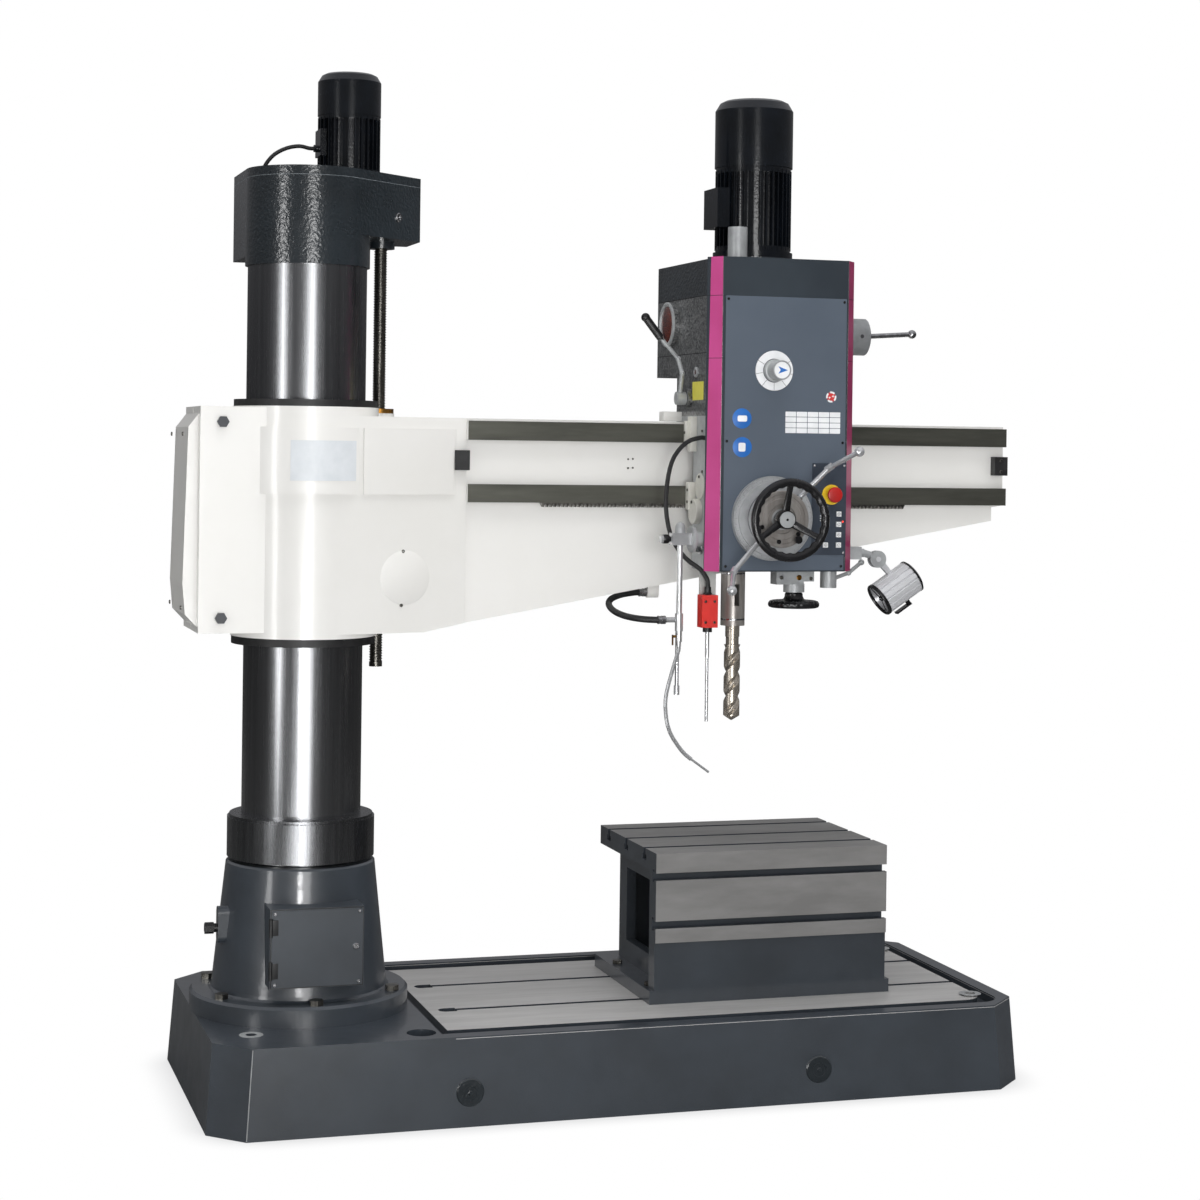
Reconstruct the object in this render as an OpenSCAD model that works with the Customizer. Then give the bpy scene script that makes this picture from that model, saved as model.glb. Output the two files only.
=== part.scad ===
// Radial arm drill on a T-slotted base with a box table.
// Millimetres. X runs along the arm, Y to the back, Z up. The origin is on the column axis at floor level.

/* [Base] */
// Length of the base at its top edge
base_l = 2424; // [2350:2:2500]
// Width of the base at its top edge
base_w = 1022; // [980:2:1100]
// Height of the base
base_h = 250; // [230:2:280]
// Distance from the column axis to the left end of the base
base_tail = 313; // [305:1:340]
// Cut across each corner of the base
base_corner = 98; // [70:1:120]
// How much the foot stands out beyond the top edge, all round
base_draft = 17; // [5:1:25]
// Thickness of the outer walls of the base
base_wall = 40; // [30:1:50]
// Thickness of the ribs under the base
base_rib = 24; // [18:1:30]
// Width of the raised rim
rim_w = 46; // [36:1:56]
// Width of the coolant gutter
gutter_w = 60; // [45:1:70]
// Depth of the coolant gutter below the rim
gutter_d = 28; // [20:1:35]
// Step from the rim down to the ground bed
bed_drop = 5; // [2:1:10]
// Distance from the column axis to the near edge of the bed
bed_x0 = 355; // [350:1:380]
// Distance between the two T-slots in the bed
base_slot_pitch = 320; // [280:2:340]
// Throat width of every T-slot
slot_w = 22; // [18:1:26]
// Diameter of the foundation bolt holes
foundation_d = 28; // [22:1:32]
// Distance between the foundation holes along the base
foundation_x = 2206; // [2180:2:2240]
// Distance between the foundation holes across the base
foundation_y = 690; // [660:2:700]

/* [Pedestal] */
// Width of the pedestal's flange round the foot of its cone
flange_rim = 64; // [54:2:74]
// Thickness of the pedestal flange
flange_t = 60; // [50:1:70]
// Diameter of the pedestal just above its flange
cone_d0 = 512; // [500:2:530]
// Diameter of the pedestal at its top
cone_d1 = 437; // [425:1:445]
// Height of the pedestal above the base
pedestal_h = 434; // [410:2:460]
// Wall of the pedestal
pedestal_wall = 26; // [20:1:30]
// Width of the terminal compartment
terminal_w = 270; // [240:2:290]
// Height of the terminal compartment
terminal_h = 227; // [200:1:240]
// Height of the compartment's lower edge above the base
terminal_z = 110; // [100:1:130]
// How far the compartment's cover stands out from the foot of the cone
terminal_out = 32; // [24:1:44]

/* [Column] */
// Diameter of the turning outer column
column_d = 350; // [340:1:356]
// Wall of the outer column
column_wall = 25; // [22:1:30]
// Height of the lower edge of the lift housing above the floor
housing_z = 2426; // [2420:1:2500]
// Diameter of the fixed inner column
inner_d = 240; // [225:1:250]
// Wall of the inner column
inner_wall = 25; // [20:1:30]
// Diameter of the clamp ring round the column's foot
ring_d = 432; // [420:1:436]
// Height of the clamp ring
ring_h = 124; // [100:1:140]
// Gap between the pedestal and the clamp ring
ring_gap = 11; // [8:1:16]

/* [Lift] */
// Diameter of the lift screw
screw_d = 40; // [34:1:44]
// Lift screw axis, along the arm
screw_x = 250; // [246:1:256]
// Lift screw axis, to the back
screw_y = 150; // [146:1:156]
// Height of the lower end of the lift screw above the floor
screw_z0 = 1232; // [1100:1:1260]
// Height of the lift housing's body
housing_h = 256; // [240:1:280]
// Thickness of the lift housing's cover
cover_t = 27; // [20:1:34]
// Diameter of the lift motor over its fins
lift_motor_d = 190; // [180:1:200]
// Height of the lift motor
lift_motor_h = 302; // [280:1:320]
// Module of the lift gears
lift_module = 3; // [3:1:3]
// Teeth on the lift motor's pinion
lift_pinion_z = 22; // [20:1:24]
// Teeth on the lift screw's gear
lift_gear_z = 53; // [50:1:54]

/* [Arm] */
// Height of the lower edge of the arm's sleeve above the floor
arm_z = 1343; // [1320:1:1560]
// Length of the arm from the column axis
arm_l = 2221; // [2190:1:2260]
// Height of the arm's sleeve
sleeve_h = 671; // [650:1:690]
// Diameter of the arm's sleeve
sleeve_d = 428; // [420:1:440]
// How far the raised band stands out from the sleeve
band_t = 12; // [6:1:16]
// Distance from the column axis to the front of the ways
ways_y = 120; // [112:1:124]
// How far the ways stand out from the web
ways_t = 25; // [22:1:30]
// Distance from the column axis to the back of the arm
arm_back = 120; // [110:1:130]
// Height of the upper way
upper_way_h = 57; // [48:1:60]
// Height of the lower way
lower_way_h = 54; // [48:1:60]
// Distance from the column axis to the near end of the ways
ways_x0 = 464; // [450:1:480]
// Distance from the column axis to the left face of the clamp block
clamp_x = 331; // [320:1:345]
// Width of the clamp block, front to back
clamp_w = 320; // [300:2:340]
// Width of the split in the clamp block
clamp_gap = 10; // [6:1:14]

/* [Drill head] */
// Distance from the column axis to the spindle axis, at rest
head_x = 1264; // [1180:1:1340]
// Distance from the column axis to the spindle axis, to the front
spindle_y = 230; // [228:1:234]
// Width of the gearbox casting
head_w = 419; // [410:1:440]
// Distance from the spindle axis to the left face of the casting
head_left = 94; // [92:1:100]
// Height of the drill head
head_h = 934; // [920:1:960]
// Height of the casting's underside behind the arm, above the head's lower edge
head_step = 587; // [580:1:600]
// Depth of the casting in front of the ways
head_d = 180; // [178:1:184]
// Distance from the column axis to the back of the casting
head_back = 240; // [225:1:260]
// Depth of the front cover
cover_d = 44; // [40:1:50]
// Width of the front cover
cover_w = 471; // [460:1:480]
// Width of each sloping side of the front cover
cover_slope = 35; // [30:1:40]
// Diameter of the spindle motor over its fins
motor_d = 236; // [228:1:240]
// Height of the spindle motor's finned body
motor_h = 260; // [240:1:280]
// Height of the spindle motor's cowl
cowl_h = 205; // [180:1:220]

/* [Spindle] */
// Diameter of the quill
quill_d = 120; // [118:1:124]
// Travel of the quill
quill_travel = 315; // [300:1:320]
// Diameter of the spindle nose
nose_d = 73; // [68:1:76]
// Length of the spindle nose below the head
nose_l = 167; // [150:1:180]
// Diameter of the splined spindle shaft
spline_d = 34; // [30:1:36]
// Diameter of the drill
drill_d = 49; // [40:1:50]
// Length of the drill below the spindle nose
drill_l = 286; // [250:1:300]
// Teeth on the feed pinion
feed_z = 13; // [13:1:13]
// Teeth on the traverse pinion
traverse_z = 14; // [14:1:14]
// Teeth on the spindle sleeve's gear
sleeve_z = 28; // [28:1:28]
// Teeth on the spindle motor's pinion
rotor_z = 48; // [48:1:48]

/* [Controls] */
// Diameter of the graduated ring of the feed hub
dial_d = 252; // [240:1:256]
// Diameter of the feed hub's drum
drum_d = 170; // [160:1:180]
// Diameter of the traverse handwheel
wheel_d = 245; // [230:1:255]
// Distance from the front cover to the middle of the handwheel's rim
wheel_out = 158; // [150:1:165]
// Reach of the feed levers from the hub's axis
lever_r = 281; // [260:1:300]
// Distance from the hub's axis to the bend in the feed levers
lever_knee_r = 213; // [200:1:225]
// Distance from the front cover to the balls of the feed levers
lever_out = 203; // [190:1:215]
// Diameter of the balls on the levers
ball_d = 30; // [26:1:36]
// Side of each push button
button_w = 15; // [12:1:18]
// Distance between push buttons
button_pitch = 31; // [28:1:36]
// Diameter of the emergency stop's head
estop_d = 47; // [40:1:50]
// Diameter of the fine feed wheel
fine_wheel_d = 176; // [160:1:184]

/* [Table] */
// Distance from the column axis to the near end of the table
table_x = 1026; // [1000:1:1060]
// Length of the table
table_l = 746; // [720:2:780]
// Depth of the table
table_d = 567; // [550:1:580]
// Distance from the column axis to the front of the table
table_front = 249; // [240:1:256]
// Height of the table
table_h = 452; // [420:1:460]
// Thickness of the table's top
table_top_t = 58; // [50:1:64]
// Thickness of the table's front wall
table_wall = 60; // [54:1:66]
// Thickness of the table's foot
table_foot_t = 40; // [32:1:46]
// Distance between the T-slots of the table's top
table_slot_pitch = 181; // [160:1:190]

/* [Fittings] */
// Diameter of the lamp's head
lamp_d = 107; // [96:1:112]
// Length of the lamp's head
lamp_l = 140; // [120:1:150]
// Diameter of the coolant pipe
pipe_d = 17; // [14:1:20]
// Diameter of the coolant hose
hose_d = 20; // [18:1:22]
// Diameter of the switch cable
cable_d = 14; // [12:1:15]

/* [Hidden] */
$fn = 48;

// Colours
anthracite = [0.22, 0.24, 0.27];
charcoal = [0.13, 0.16, 0.19];
cream = [0.93, 0.93, 0.91];
iron = [0.45, 0.45, 0.44];
steel = [0.72, 0.73, 0.74];
dark_steel = [0.42, 0.41, 0.39];
silver = [0.62, 0.63, 0.64];
blue_grey = [0.33, 0.37, 0.43];
black = [0.06, 0.06, 0.07];
red = [0.80, 0.12, 0.10];
bronze = [0.72, 0.52, 0.25];

// Clearances
run = 0.05;       // running fit, on the radius
gap = 0.3;        // free gap between moving pieces
eps = 1;          // overrun of a cut

// Driven sizes of the base
base_x0 = -base_tail;
base_x1 = base_l - base_tail;
bed_z = base_h - bed_drop;
bed_y = base_w / 2 - rim_w - gutter_w;
bed_r = 70;
bed_slot_x0 = bed_x0 + 57;
drain_x = bed_x0 - 82;
drain_y = gutter_w / 2 + rim_w - base_w / 2;
column_boss_r = 150;
pocket_top = base_h - gutter_d - 30;
slot_t_w = 1.75 * slot_w;
slot_t_h = 0.75 * slot_w;
slot_h = 1.6 * slot_w;
foundation_x0 = base_x0 + 119;
boss_r = 1.8 * foundation_d;

// Driven sizes of the column
column_r = column_d / 2;
inner_r = inner_d / 2;
pedestal_z1 = base_h + pedestal_h;
ring_z0 = pedestal_z1 + ring_gap;
column_z0 = pedestal_z1 + 2;
column_z1 = housing_z + 36;
inner_z1 = column_z1 - 40;
bearing_h = 50;
flange_d = cone_d0 + 2 * flange_rim;
flange_bolt_r = flange_d / 2 - flange_rim / 2;
flange_bolt_d = 24;
terminal_y = cone_d0 / 2 + terminal_out;
switch_z = base_h + 248;
switch_y = -60;
switch_x = 4 - cone_d0 / 2;
switch_pin_r = 8;

// Driven sizes of the lift
housing_z1 = housing_z + housing_h;
lift_top = housing_z1 + cover_t;
wing_z = housing_z + 92;
back_skirt_z = housing_z + 26;
wall = 16;
screw_r = screw_d / 2;
lift_gear_r = lift_module * lift_gear_z / 2;
lift_pinion_r = lift_module * lift_pinion_z / 2;
lift_dx = 108;
lift_motor_x = screw_x - lift_dx;
lift_motor_y = screw_y - sqrt(pow(lift_gear_r + lift_pinion_r, 2) - lift_dx * lift_dx);
lift_gear_z0 = wing_z + 42;
lift_gear_t = 30;
lift_shaft_r = 14;
skirt_r = column_r + 8;
tangent_a = -49;

// Driven sizes of the arm, measured from the sleeve's lower edge
arm_top = sleeve_h - 26;
upper_way_z = arm_top - 7 - upper_way_h;
lower_way_z = 396;
web_y = ways_y - ways_t;
traverse_m = 4;
traverse_r = traverse_m * traverse_z / 2;
pitch_drop = 9;
beam_x = 332;
beam_z = 13;
reach_y = 300;
block_z0 = 17;
block_z1 = sleeve_h - 4;
clamp_bolt_x = clamp_x - 64;
clamp_bolt_d = 20;
clamp_bolt_z = [block_z0 + 44, block_z1 - 44];
nut_r = screw_r + 15;
stop_h = 59;
stop_z = upper_way_z - 90;
hose_boss_x = 1058;
hose_boss = [hose_boss_x, -20, arm_bottom(hose_boss_x) - 24];

// Driven sizes of the drill head, measured from its lower edge and from the spindle axis
head_z = arm_z + 200;
front_y = -ways_y - gap;
cast_y = -ways_y - head_d;
head_knee = front_y + 163;
panel_y = cast_y - cover_d;
cast_x0 = -head_left;
cast_x1 = head_w - head_left;
cover_x0 = (cast_x0 + cast_x1) / 2 - cover_w / 2;
cover_x1 = cover_x0 + cover_w;
sheet = 5;
feed_m = 3;
feed_r = feed_m * feed_z / 2;
quill_r = quill_d / 2;
rack_x = quill_r - 3.5;
hub_x = rack_x + feed_r;
hub_z = arm_z + lower_way_z - pitch_drop - traverse_r - head_z;
feed_shaft_r = 14;
wheel_shaft_r = 10;
gear_m = 4;
sleeve_r = gear_m * sleeve_z / 2;
rotor_r = gear_m * rotor_z / 2;
rotor_x = 93;
rotor_y = -spindle_y + sqrt(pow(sleeve_r + rotor_r, 2) - rotor_x * rotor_x);
gear_z = head_step + 70;
gear_t = 25;
rotor_shaft_r = 16;
quill_z0 = 5;
quill_z1 = 535;
floor_z = 560;
spline_z1 = gear_z + gear_t + quill_travel + 20;
nose_r = nose_d / 2;
panel_t = 3;
panel_x0 = 205;
panel_w = 110;
panel_z0 = 50;
panel_h = 275;
button_x = 291;
button_z = 80;
button_depth = 22;
button_out = 5;
estop_x = 267;
estop_z = 231;
knob_x = 79;
knob_z = 599;
left_hub_y = -79;
left_hub_z = 517;
right_lever_y = -240;
right_lever_z = 711;
right_boss_r = 56;
window_y = 99;
window_z = 750;
window_r = 70;
right_boss_l = 87;
fine_x = 185;
fine_y = -260;
clutch_x = 301;
clutch_y = -250;
lamp_x = 449;
lamp_y = -276;
lamp_z = 34;
lamp_mount_z = 53;
pipe_x = -184;
pipe_y = -270;
trip_x = -97;
trip_y = -278;

button_places = [
  [button_x, button_z + 3 * button_pitch], [button_x, button_z + 2 * button_pitch],
  [button_x, button_z + button_pitch], [button_x, button_z], [button_x - 42, button_z]];

table_x1 = table_x + table_l;
table_z1 = bed_z + table_h;
table_back = table_d - table_front;
table_recess = 54;
body_back = table_back - 40;
table_bolt_x0 = table_x + 12;
table_bolt_x1 = table_x1 - 12;
front_slot_z = [table_z1 - table_top_t - 12, table_z1 - table_top_t - 156];

lamp_tilt = 34;
lever_angle = 46;

// Routes of the cables, from the parts that hold them
lift_cable_route = [
  [0, 0, 83], [-14, 0, 83], [-44, 0, 88], [-82, 0, 80], [-118, 0, 60], [-142, 0, 32], [-150, 0, 12],
  [-150, 0, 0]
];
switch_cable_route = [
  [-94, -225, 396], [-112, -225, 396], [-152, -225, 382], [-190, -225, 340], [-209, -226, 280],
  [-216, -228, 190], [-200, -234, 100], [-160, -246, 38], [-118, -266, 4], [-100, -276, -24],
  [-97, -278, -38], [-97, -278, -48]
];
hose_start = [head_x + pipe_x - 40, pipe_y + 8, head_z - 147];
hose_end = hose_boss + [0, 0, arm_z];
hose_route = [
  hose_start, hose_start - [24, 0, 0], hose_start + [-70, 16, 2], hose_start + [-106, 62, 8],
  hose_start + [-126, 112, 20], hose_end + [-146, -85, -31], hose_end + [-128, -48, -17],
  hose_end + [-88, -18, -6], hose_end + [-38, -1, 0], hose_end - [18, 0, 0], hose_end
];
nozzle_route = [
  [0, 0, 0], [0, 0, -12], [-12, 0, -50], [-36, 0, -138], [-38, 0, -196], [-24, 0, -256], [14, 0, -312],
  [44, 0, -338]
];

// Helpers
function unit(v) = v / norm(v);
function bend(a, b, c, d, t) =
  0.5 * (2 * b + (c - a) * t + (2 * a - 5 * b + 4 * c - d) * t * t + (3 * b - a - 3 * c + d) * t * t * t);
function smooth(p, n) = concat(
  [for (i = [0 : len(p) - 2], k = [0 : n - 1])
    bend(p[max(i - 1, 0)], p[i], p[i + 1], p[min(i + 2, len(p) - 1)], k / n)],
  [p[len(p) - 1]]);
function heading(route, p, i) =
  i == 0 ? unit(route[1] - route[0]) :
  i == len(p) - 1 ? unit(route[len(route) - 1] - route[len(route) - 2]) :
  unit(p[i + 1] - p[i - 1]);

// A tube of radius r along a smooth curve through the route's points
module swept_tube(route, r, sides = 10, n = 3) {
  p = smooth(route, n);
  rings = len(p);
  points = [for (i = [0 : rings - 1], k = [0 : sides - 1])
    let (t = heading(route, p, i), u = unit(cross(t, [0, 1, 0])), v = cross(t, u), a = 360 * k / sides)
      p[i] + r * (cos(a) * u + sin(a) * v)];
  walls = [for (i = [0 : rings - 2], k = [0 : sides - 1])
    let (a = i * sides + k, b = i * sides + (k + 1) % sides, c = b + sides, d = a + sides)
      each [[a, c, b], [a, d, c]]];
  first = [for (k = [0 : sides - 1]) k];
  last = [for (k = [sides - 1 : -1 : 0]) (rings - 1) * sides + k];
  polyhedron(points, concat(walls, [first, last]));
}

// A straight round bar between two points
module bar(a, b, r) {
  d = b - a;
  translate(a)
    rotate([0, acos(d[2] / norm(d)), atan2(d[1], d[0])])
      cylinder(r = r, h = norm(d));
}

// A straight round bar between two points, with a ball on its far end
module ball_bar(a, b, r, ball) {
  d = b - a;
  l = norm(d);
  t0 = -acos(r / ball);
  steps = 10;
  translate(a)
    rotate([0, acos(d[2] / l), atan2(d[1], d[0])])
      rotate_extrude() polygon(concat(
        [[0, 0], [r, 0]],
        [for (i = [0 : steps - 1]) let (t = t0 + (90 - t0) * i / steps) [ball * cos(t), l + ball * sin(t)]],
        [[0, l + ball]]));
}

// Cylinders along X and Y that start at the origin
module x_cyl(r, h) rotate([0, 90, 0]) cylinder(r = r, h = h);
module y_cyl(r, h) rotate([-90, 0, 0]) cylinder(r = r, h = h);

// A box between two corners
module block(a, b) translate(a) cube(b - a);

// A spur gear's outline with a tooth on the +X axis
module gear_outline(m, z) {
  r = m * z / 2;
  half = 81 / z;
  root = half + 1.25 * m * tan(20) / r * 57.3;
  tip = half - 0.95 * m * tan(20) / r * 57.3;
  polygon([for (i = [0 : z - 1]) let (a = 360 * i / z) each [
    (r - 1.25 * m) * [cos(a - root), sin(a - root)],
    (r + 0.95 * m) * [cos(a - tip), sin(a - tip)],
    (r + 0.95 * m) * [cos(a + tip), sin(a + tip)],
    (r - 1.25 * m) * [cos(a + root), sin(a + root)]]]);
}

// A rack's outline along X with teeth towards +Y and its pitch line on the X axis
module rack_outline(m, teeth, back) {
  pitch = PI * m;
  root = 0.225 * pitch + 1.25 * m * tan(20);
  tip = 0.225 * pitch - 0.95 * m * tan(20);
  x1 = (teeth - 0.5) * pitch;
  polygon(concat(
    [[-0.5 * pitch, -back], [-0.5 * pitch, -1.25 * m]],
    [for (i = [0 : teeth - 1]) let (x = i * pitch) each [
      [x - root, -1.25 * m], [x - tip, 0.95 * m], [x + tip, 0.95 * m], [x + root, -1.25 * m]]],
    [[x1, -1.25 * m], [x1, -back]]));
}

// A prism between a lower and an upper outline with the same number of points
module frustum(lower, upper, h) {
  n = len(lower);
  polyhedron(
    concat([for (p = lower) [p[0], p[1], 0]], [for (p = upper) [p[0], p[1], h]]),
    concat([[for (i = [0 : n - 1]) i]], [[for (i = [n - 1 : -1 : 0]) n + i]],
      [for (i = [0 : n - 1]) [i, i + n, (i + 1) % n + n, (i + 1) % n]]));
}

// A rectangle with cut corners, as an outline
function cut_corners(x0, x1, y, c) = [
  [x0 + c, -y], [x1 - c, -y], [x1, c - y], [x1, y - c], [x1 - c, y], [x0 + c, y], [x0, y - c], [x0, c - y]];

// A rectangle whose right corners are round
module round_right(x0, x1, y, r) {
  translate([x0, -y]) square([x1 - x0 - r, 2 * y]);
  translate([x0, r - y]) square([x1 - x0, 2 * (y - r)]);
  for (s = [-1, 1]) translate([x1 - r, s * (y - r)]) circle(r);
}

// A hexagon head bolt with its head on the Z plane
module hex_bolt(d, shank) {
  cylinder(d = 1.73 * d, h = 0.62 * d, $fn = 6);
  translate([0, 0, -shank]) cylinder(d = d, h = shank);
}

// A T-slot along X in a face that looks up, from x0 to x1
module t_slot(x0, x1) {
  block([x0, -slot_w / 2, -slot_h], [x1, slot_w / 2, eps]);
  block([x0, -slot_t_w / 2, -slot_h], [x1, slot_t_w / 2, slot_t_h - slot_h]);
}

// The round-ended pocket where T-bolts go into a slot
module t_pocket(x) {
  r = slot_t_w / 2 + 3;
  translate([x - 4, 0, -slot_h]) linear_extrude(slot_h + eps) {
    circle(r);
    translate([0, -r]) square([32, 2 * r]);
  }
}

// Base
module base_pockets() {
  x0 = base_x0 + base_wall;
  x1 = base_x1 - base_wall;
  y = base_w / 2 - base_wall;
  nx = 10;
  ny = 4;
  dx = (x1 - x0 + base_rib) / nx;
  dy = (2 * y + base_rib) / ny;
  intersection() {
    for (i = [0 : nx - 1], j = [0 : ny - 1])
      translate([x0 + i * dx, j * dy - y, -eps]) cube([dx - base_rib, dy - base_rib, pocket_top + eps]);
    translate([0, 0, -eps])
      linear_extrude(pocket_top + 2 * eps) polygon(cut_corners(x0, x1, y, base_corner));
  }
}

module at_foundation() {
  for (i = [0, 1], s = [-1, 1])
    translate([foundation_x0 + i * foundation_x, s * foundation_y / 2, 0]) children();
}

module at_flange_bolts() {
  for (i = [0 : 5]) rotate(30 + 60 * i) translate([flange_bolt_r, 0, base_h + flange_t]) children();
}

module base_casting() {
  color(anthracite) difference() {
    union() {
      difference() {
        frustum(
          cut_corners(base_x0 - base_draft, base_x1 + base_draft, base_w / 2 + base_draft, base_corner),
          cut_corners(base_x0, base_x1, base_w / 2, base_corner), base_h);
        base_pockets();
        difference() {
          translate([0, 0, base_h - gutter_d]) linear_extrude(gutter_d + eps) {
            round_right(bed_x0 - 0.5 * gutter_w, base_x1 - rim_w, base_w / 2 - rim_w, bed_r);
            translate([drain_x, drain_y]) circle(0.7 * gutter_w);
          }
          linear_extrude(bed_z) round_right(bed_x0, base_x1 - rim_w - gutter_w / 2, bed_y, bed_r);
        }
      }
      at_foundation() cylinder(r = boss_r, h = pocket_top + eps);
      cylinder(r = column_boss_r, h = pocket_top + eps);
      at_flange_bolts() translate([0, 0, -flange_t - base_h])
        cylinder(r = flange_bolt_d, h = pocket_top + eps);
    }
    at_foundation() translate([0, 0, -eps]) cylinder(d = foundation_d, h = base_h + 2 * eps);
    at_flange_bolts() translate([0, 0, -flange_t - 91]) cylinder(d = flange_bolt_d + 2 * run, h = 92);
    for (s = [-1, 1]) translate([0, s * base_slot_pitch / 2, bed_z]) {
      t_slot(bed_slot_x0, base_x1 - rim_w - gutter_w / 2 + eps);
      t_pocket(bed_slot_x0);
    }
    translate([drain_x, drain_y, pocket_top - eps]) cylinder(d = 30, h = base_h);
  }
}

module pedestal_solid() {
  rotate_extrude($fn = 96) polygon([
    [0, 0], [flange_d / 2, 0], [flange_d / 2, flange_t - 8], [flange_d / 2 - 8, flange_t],
    [cone_d0 / 2 + 8, flange_t], [cone_d0 / 2 + 2, flange_t + 6], [cone_d0 / 2, flange_t + 16],
    [cone_d1 / 2, pedestal_h - 6], [cone_d1 / 2 - 6, pedestal_h], [0, pedestal_h]]);
}

module pedestal() {
  core_r = inner_r + pedestal_wall;
  lip = 14;
  color(anthracite) translate([0, 0, base_h]) difference() {
    union() {
      pedestal_solid();
      block([-terminal_w / 2, -terminal_y, terminal_z],
        [terminal_w / 2, 40 - cone_d1 / 2, terminal_z + terminal_h]);
      translate([switch_x, switch_y, switch_z - base_h]) rotate([90, 0, 90]) linear_extrude(60) hull()
        for (z = [-25, 43]) translate([0, z]) circle(20);
    }
    translate([0, 0, -eps]) cylinder(r = inner_r + run, h = pedestal_h + 2 * eps);
    rotate_extrude($fn = 96) polygon([
      [core_r, flange_t], [cone_d0 / 2 - pedestal_wall, flange_t],
      [cone_d1 / 2 - pedestal_wall, pedestal_h - 40], [core_r, pedestal_h - 40]]);
    block([lip - terminal_w / 2, -terminal_y - eps, terminal_z + lip],
      [terminal_w / 2 - lip, -core_r - 20, terminal_z + terminal_h - lip]);
    translate([switch_x - eps, switch_y, switch_z - base_h])
      x_cyl(switch_pin_r + run, -switch_x - core_r - 20);
    at_flange_bolts() translate([0, 0, -base_h - 2 * flange_t])
      cylinder(d = flange_bolt_d + 2 * run, h = 3 * flange_t);
  }
}

module base_bolts() {
  color(dark_steel) {
    at_flange_bolts() hex_bolt(flange_bolt_d, flange_t + 90);
    for (x = [table_bolt_x0, table_bolt_x1], s = [-1, 1])
      translate([x, s * base_slot_pitch / 2, bed_z + table_foot_t]) {
        hex_bolt(18, table_foot_t + slot_h - slot_t_h + 1);
        translate([0, 0, slot_t_h - slot_h - table_foot_t - 10]) cylinder(d = 32, h = 9);
      }
  }
}

module terminal_cover() {
  inset = 4;
  x = terminal_w / 2 - inset;
  color(anthracite) translate([0, -terminal_y, base_h + terminal_z])
    block([-x, -3, inset], [x, 0, terminal_h - inset]);
}

module main_switch() {
  color(black) translate([switch_x, switch_y, switch_z]) {
    translate([-12, 0, 0]) x_cyl(switch_pin_r, 62);
    translate([-12, 0, 0]) x_cyl(13, 12 - gap);
    translate([-36, 0, 0]) rotate([0, 90, 0]) cylinder(r = 17, h = 26, $fn = 6);
  }
}

module worktable() {
  x0 = table_x + table_recess;
  x1 = table_x1 - table_recess;
  z0 = bed_z + table_foot_t;
  z1 = table_z1 - table_top_t;
  color(iron) difference() {
    union() {
      block([table_x, -table_front, z1], [table_x1, table_back, table_z1]);
      block([table_x, -table_front, bed_z + 184], [table_x1, table_wall - table_front, z1 + eps]);
      block([table_x, 6 - table_front, bed_z], [table_x1, table_wall - table_front, bed_z + 184 + eps]);
      block([x0, -table_front + 10, bed_z], [x1, body_back, z1 + eps]);
      block([table_x - 14, 6 - table_front, bed_z], [table_x1 + 14, table_back, z0]);
    }
    block([x0 + 30, table_wall - table_front, bed_z - eps], [x1 - 30, body_back - 30, z1 - 6]);
    block([x0 - eps, table_wall + 45 - table_front, z0 + 65], [x1 + eps, body_back - 75, z1 - 60]);
    for (i = [-1 : 1]) translate([0, i * table_slot_pitch + 48, table_z1])
      t_slot(table_x - eps, table_x1 + eps);
    for (z = front_slot_z) translate([0, -table_front, z]) rotate([90, 0, 0])
      t_slot(table_x - eps, table_x1 + eps);
    for (x = [table_bolt_x0, table_bolt_x1], s = [-1, 1])
      translate([x, s * base_slot_pitch / 2, bed_z - eps]) cylinder(d = 20, h = table_foot_t + 2 * eps);
  }
}

// Column
module inner_column() {
  color(iron) translate([0, 0, base_h]) difference() {
    cylinder(r = inner_r, h = inner_z1 - base_h);
    translate([0, 0, -eps]) cylinder(r = inner_r - inner_wall, h = inner_z1 - base_h + 2 * eps);
  }
}

module column_bearings() {
  color(silver) for (z = [ring_z0 + 10, inner_z1 - bearing_h - 20]) translate([0, 0, z]) difference() {
    cylinder(r = column_r - column_wall - run, h = bearing_h);
    translate([0, 0, -eps]) cylinder(r = inner_r + run, h = bearing_h + 2 * eps);
  }
}

module outer_column() {
  color(steel) translate([0, 0, column_z0]) difference() {
    cylinder(r = column_r, h = column_z1 - column_z0, $fn = 96);
    translate([0, 0, -eps])
      cylinder(r = column_r - column_wall, h = column_z1 - column_z0 + 2 * eps, $fn = 96);
  }
}

module column_ring() {
  color(steel) translate([0, 0, ring_z0]) difference() {
    union() {
      cylinder(d = ring_d, h = ring_h - 8, $fn = 96);
      cylinder(d = ring_d - 12, h = ring_h, $fn = 96);
    }
    translate([0, 0, -eps]) cylinder(r = column_r, h = ring_h + 2 * eps, $fn = 96);
  }
}

// The lift housing's plan, d inside its outer face
function tangent_x(d) = (skirt_r - d) * cos(tangent_a);
function tangent_y(d) = (skirt_r - d) * sin(tangent_a);
function wing_x(d) = screw_x + lift_gear_r + 22.5 - d;
module housing_plan(d) {
  back = screw_y + lift_gear_r + 22 - d;
  circle(skirt_r - d, $fn = 96);
  polygon([
    [d - skirt_r, 0], [0, 0], [tangent_x(d), tangent_y(d)],
    [wing_x(d), tangent_y(d) + (wing_x(d) - tangent_x(d)) * tan(90 + tangent_a)],
    [wing_x(d), back], [d - skirt_r, back]]);
}

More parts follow.
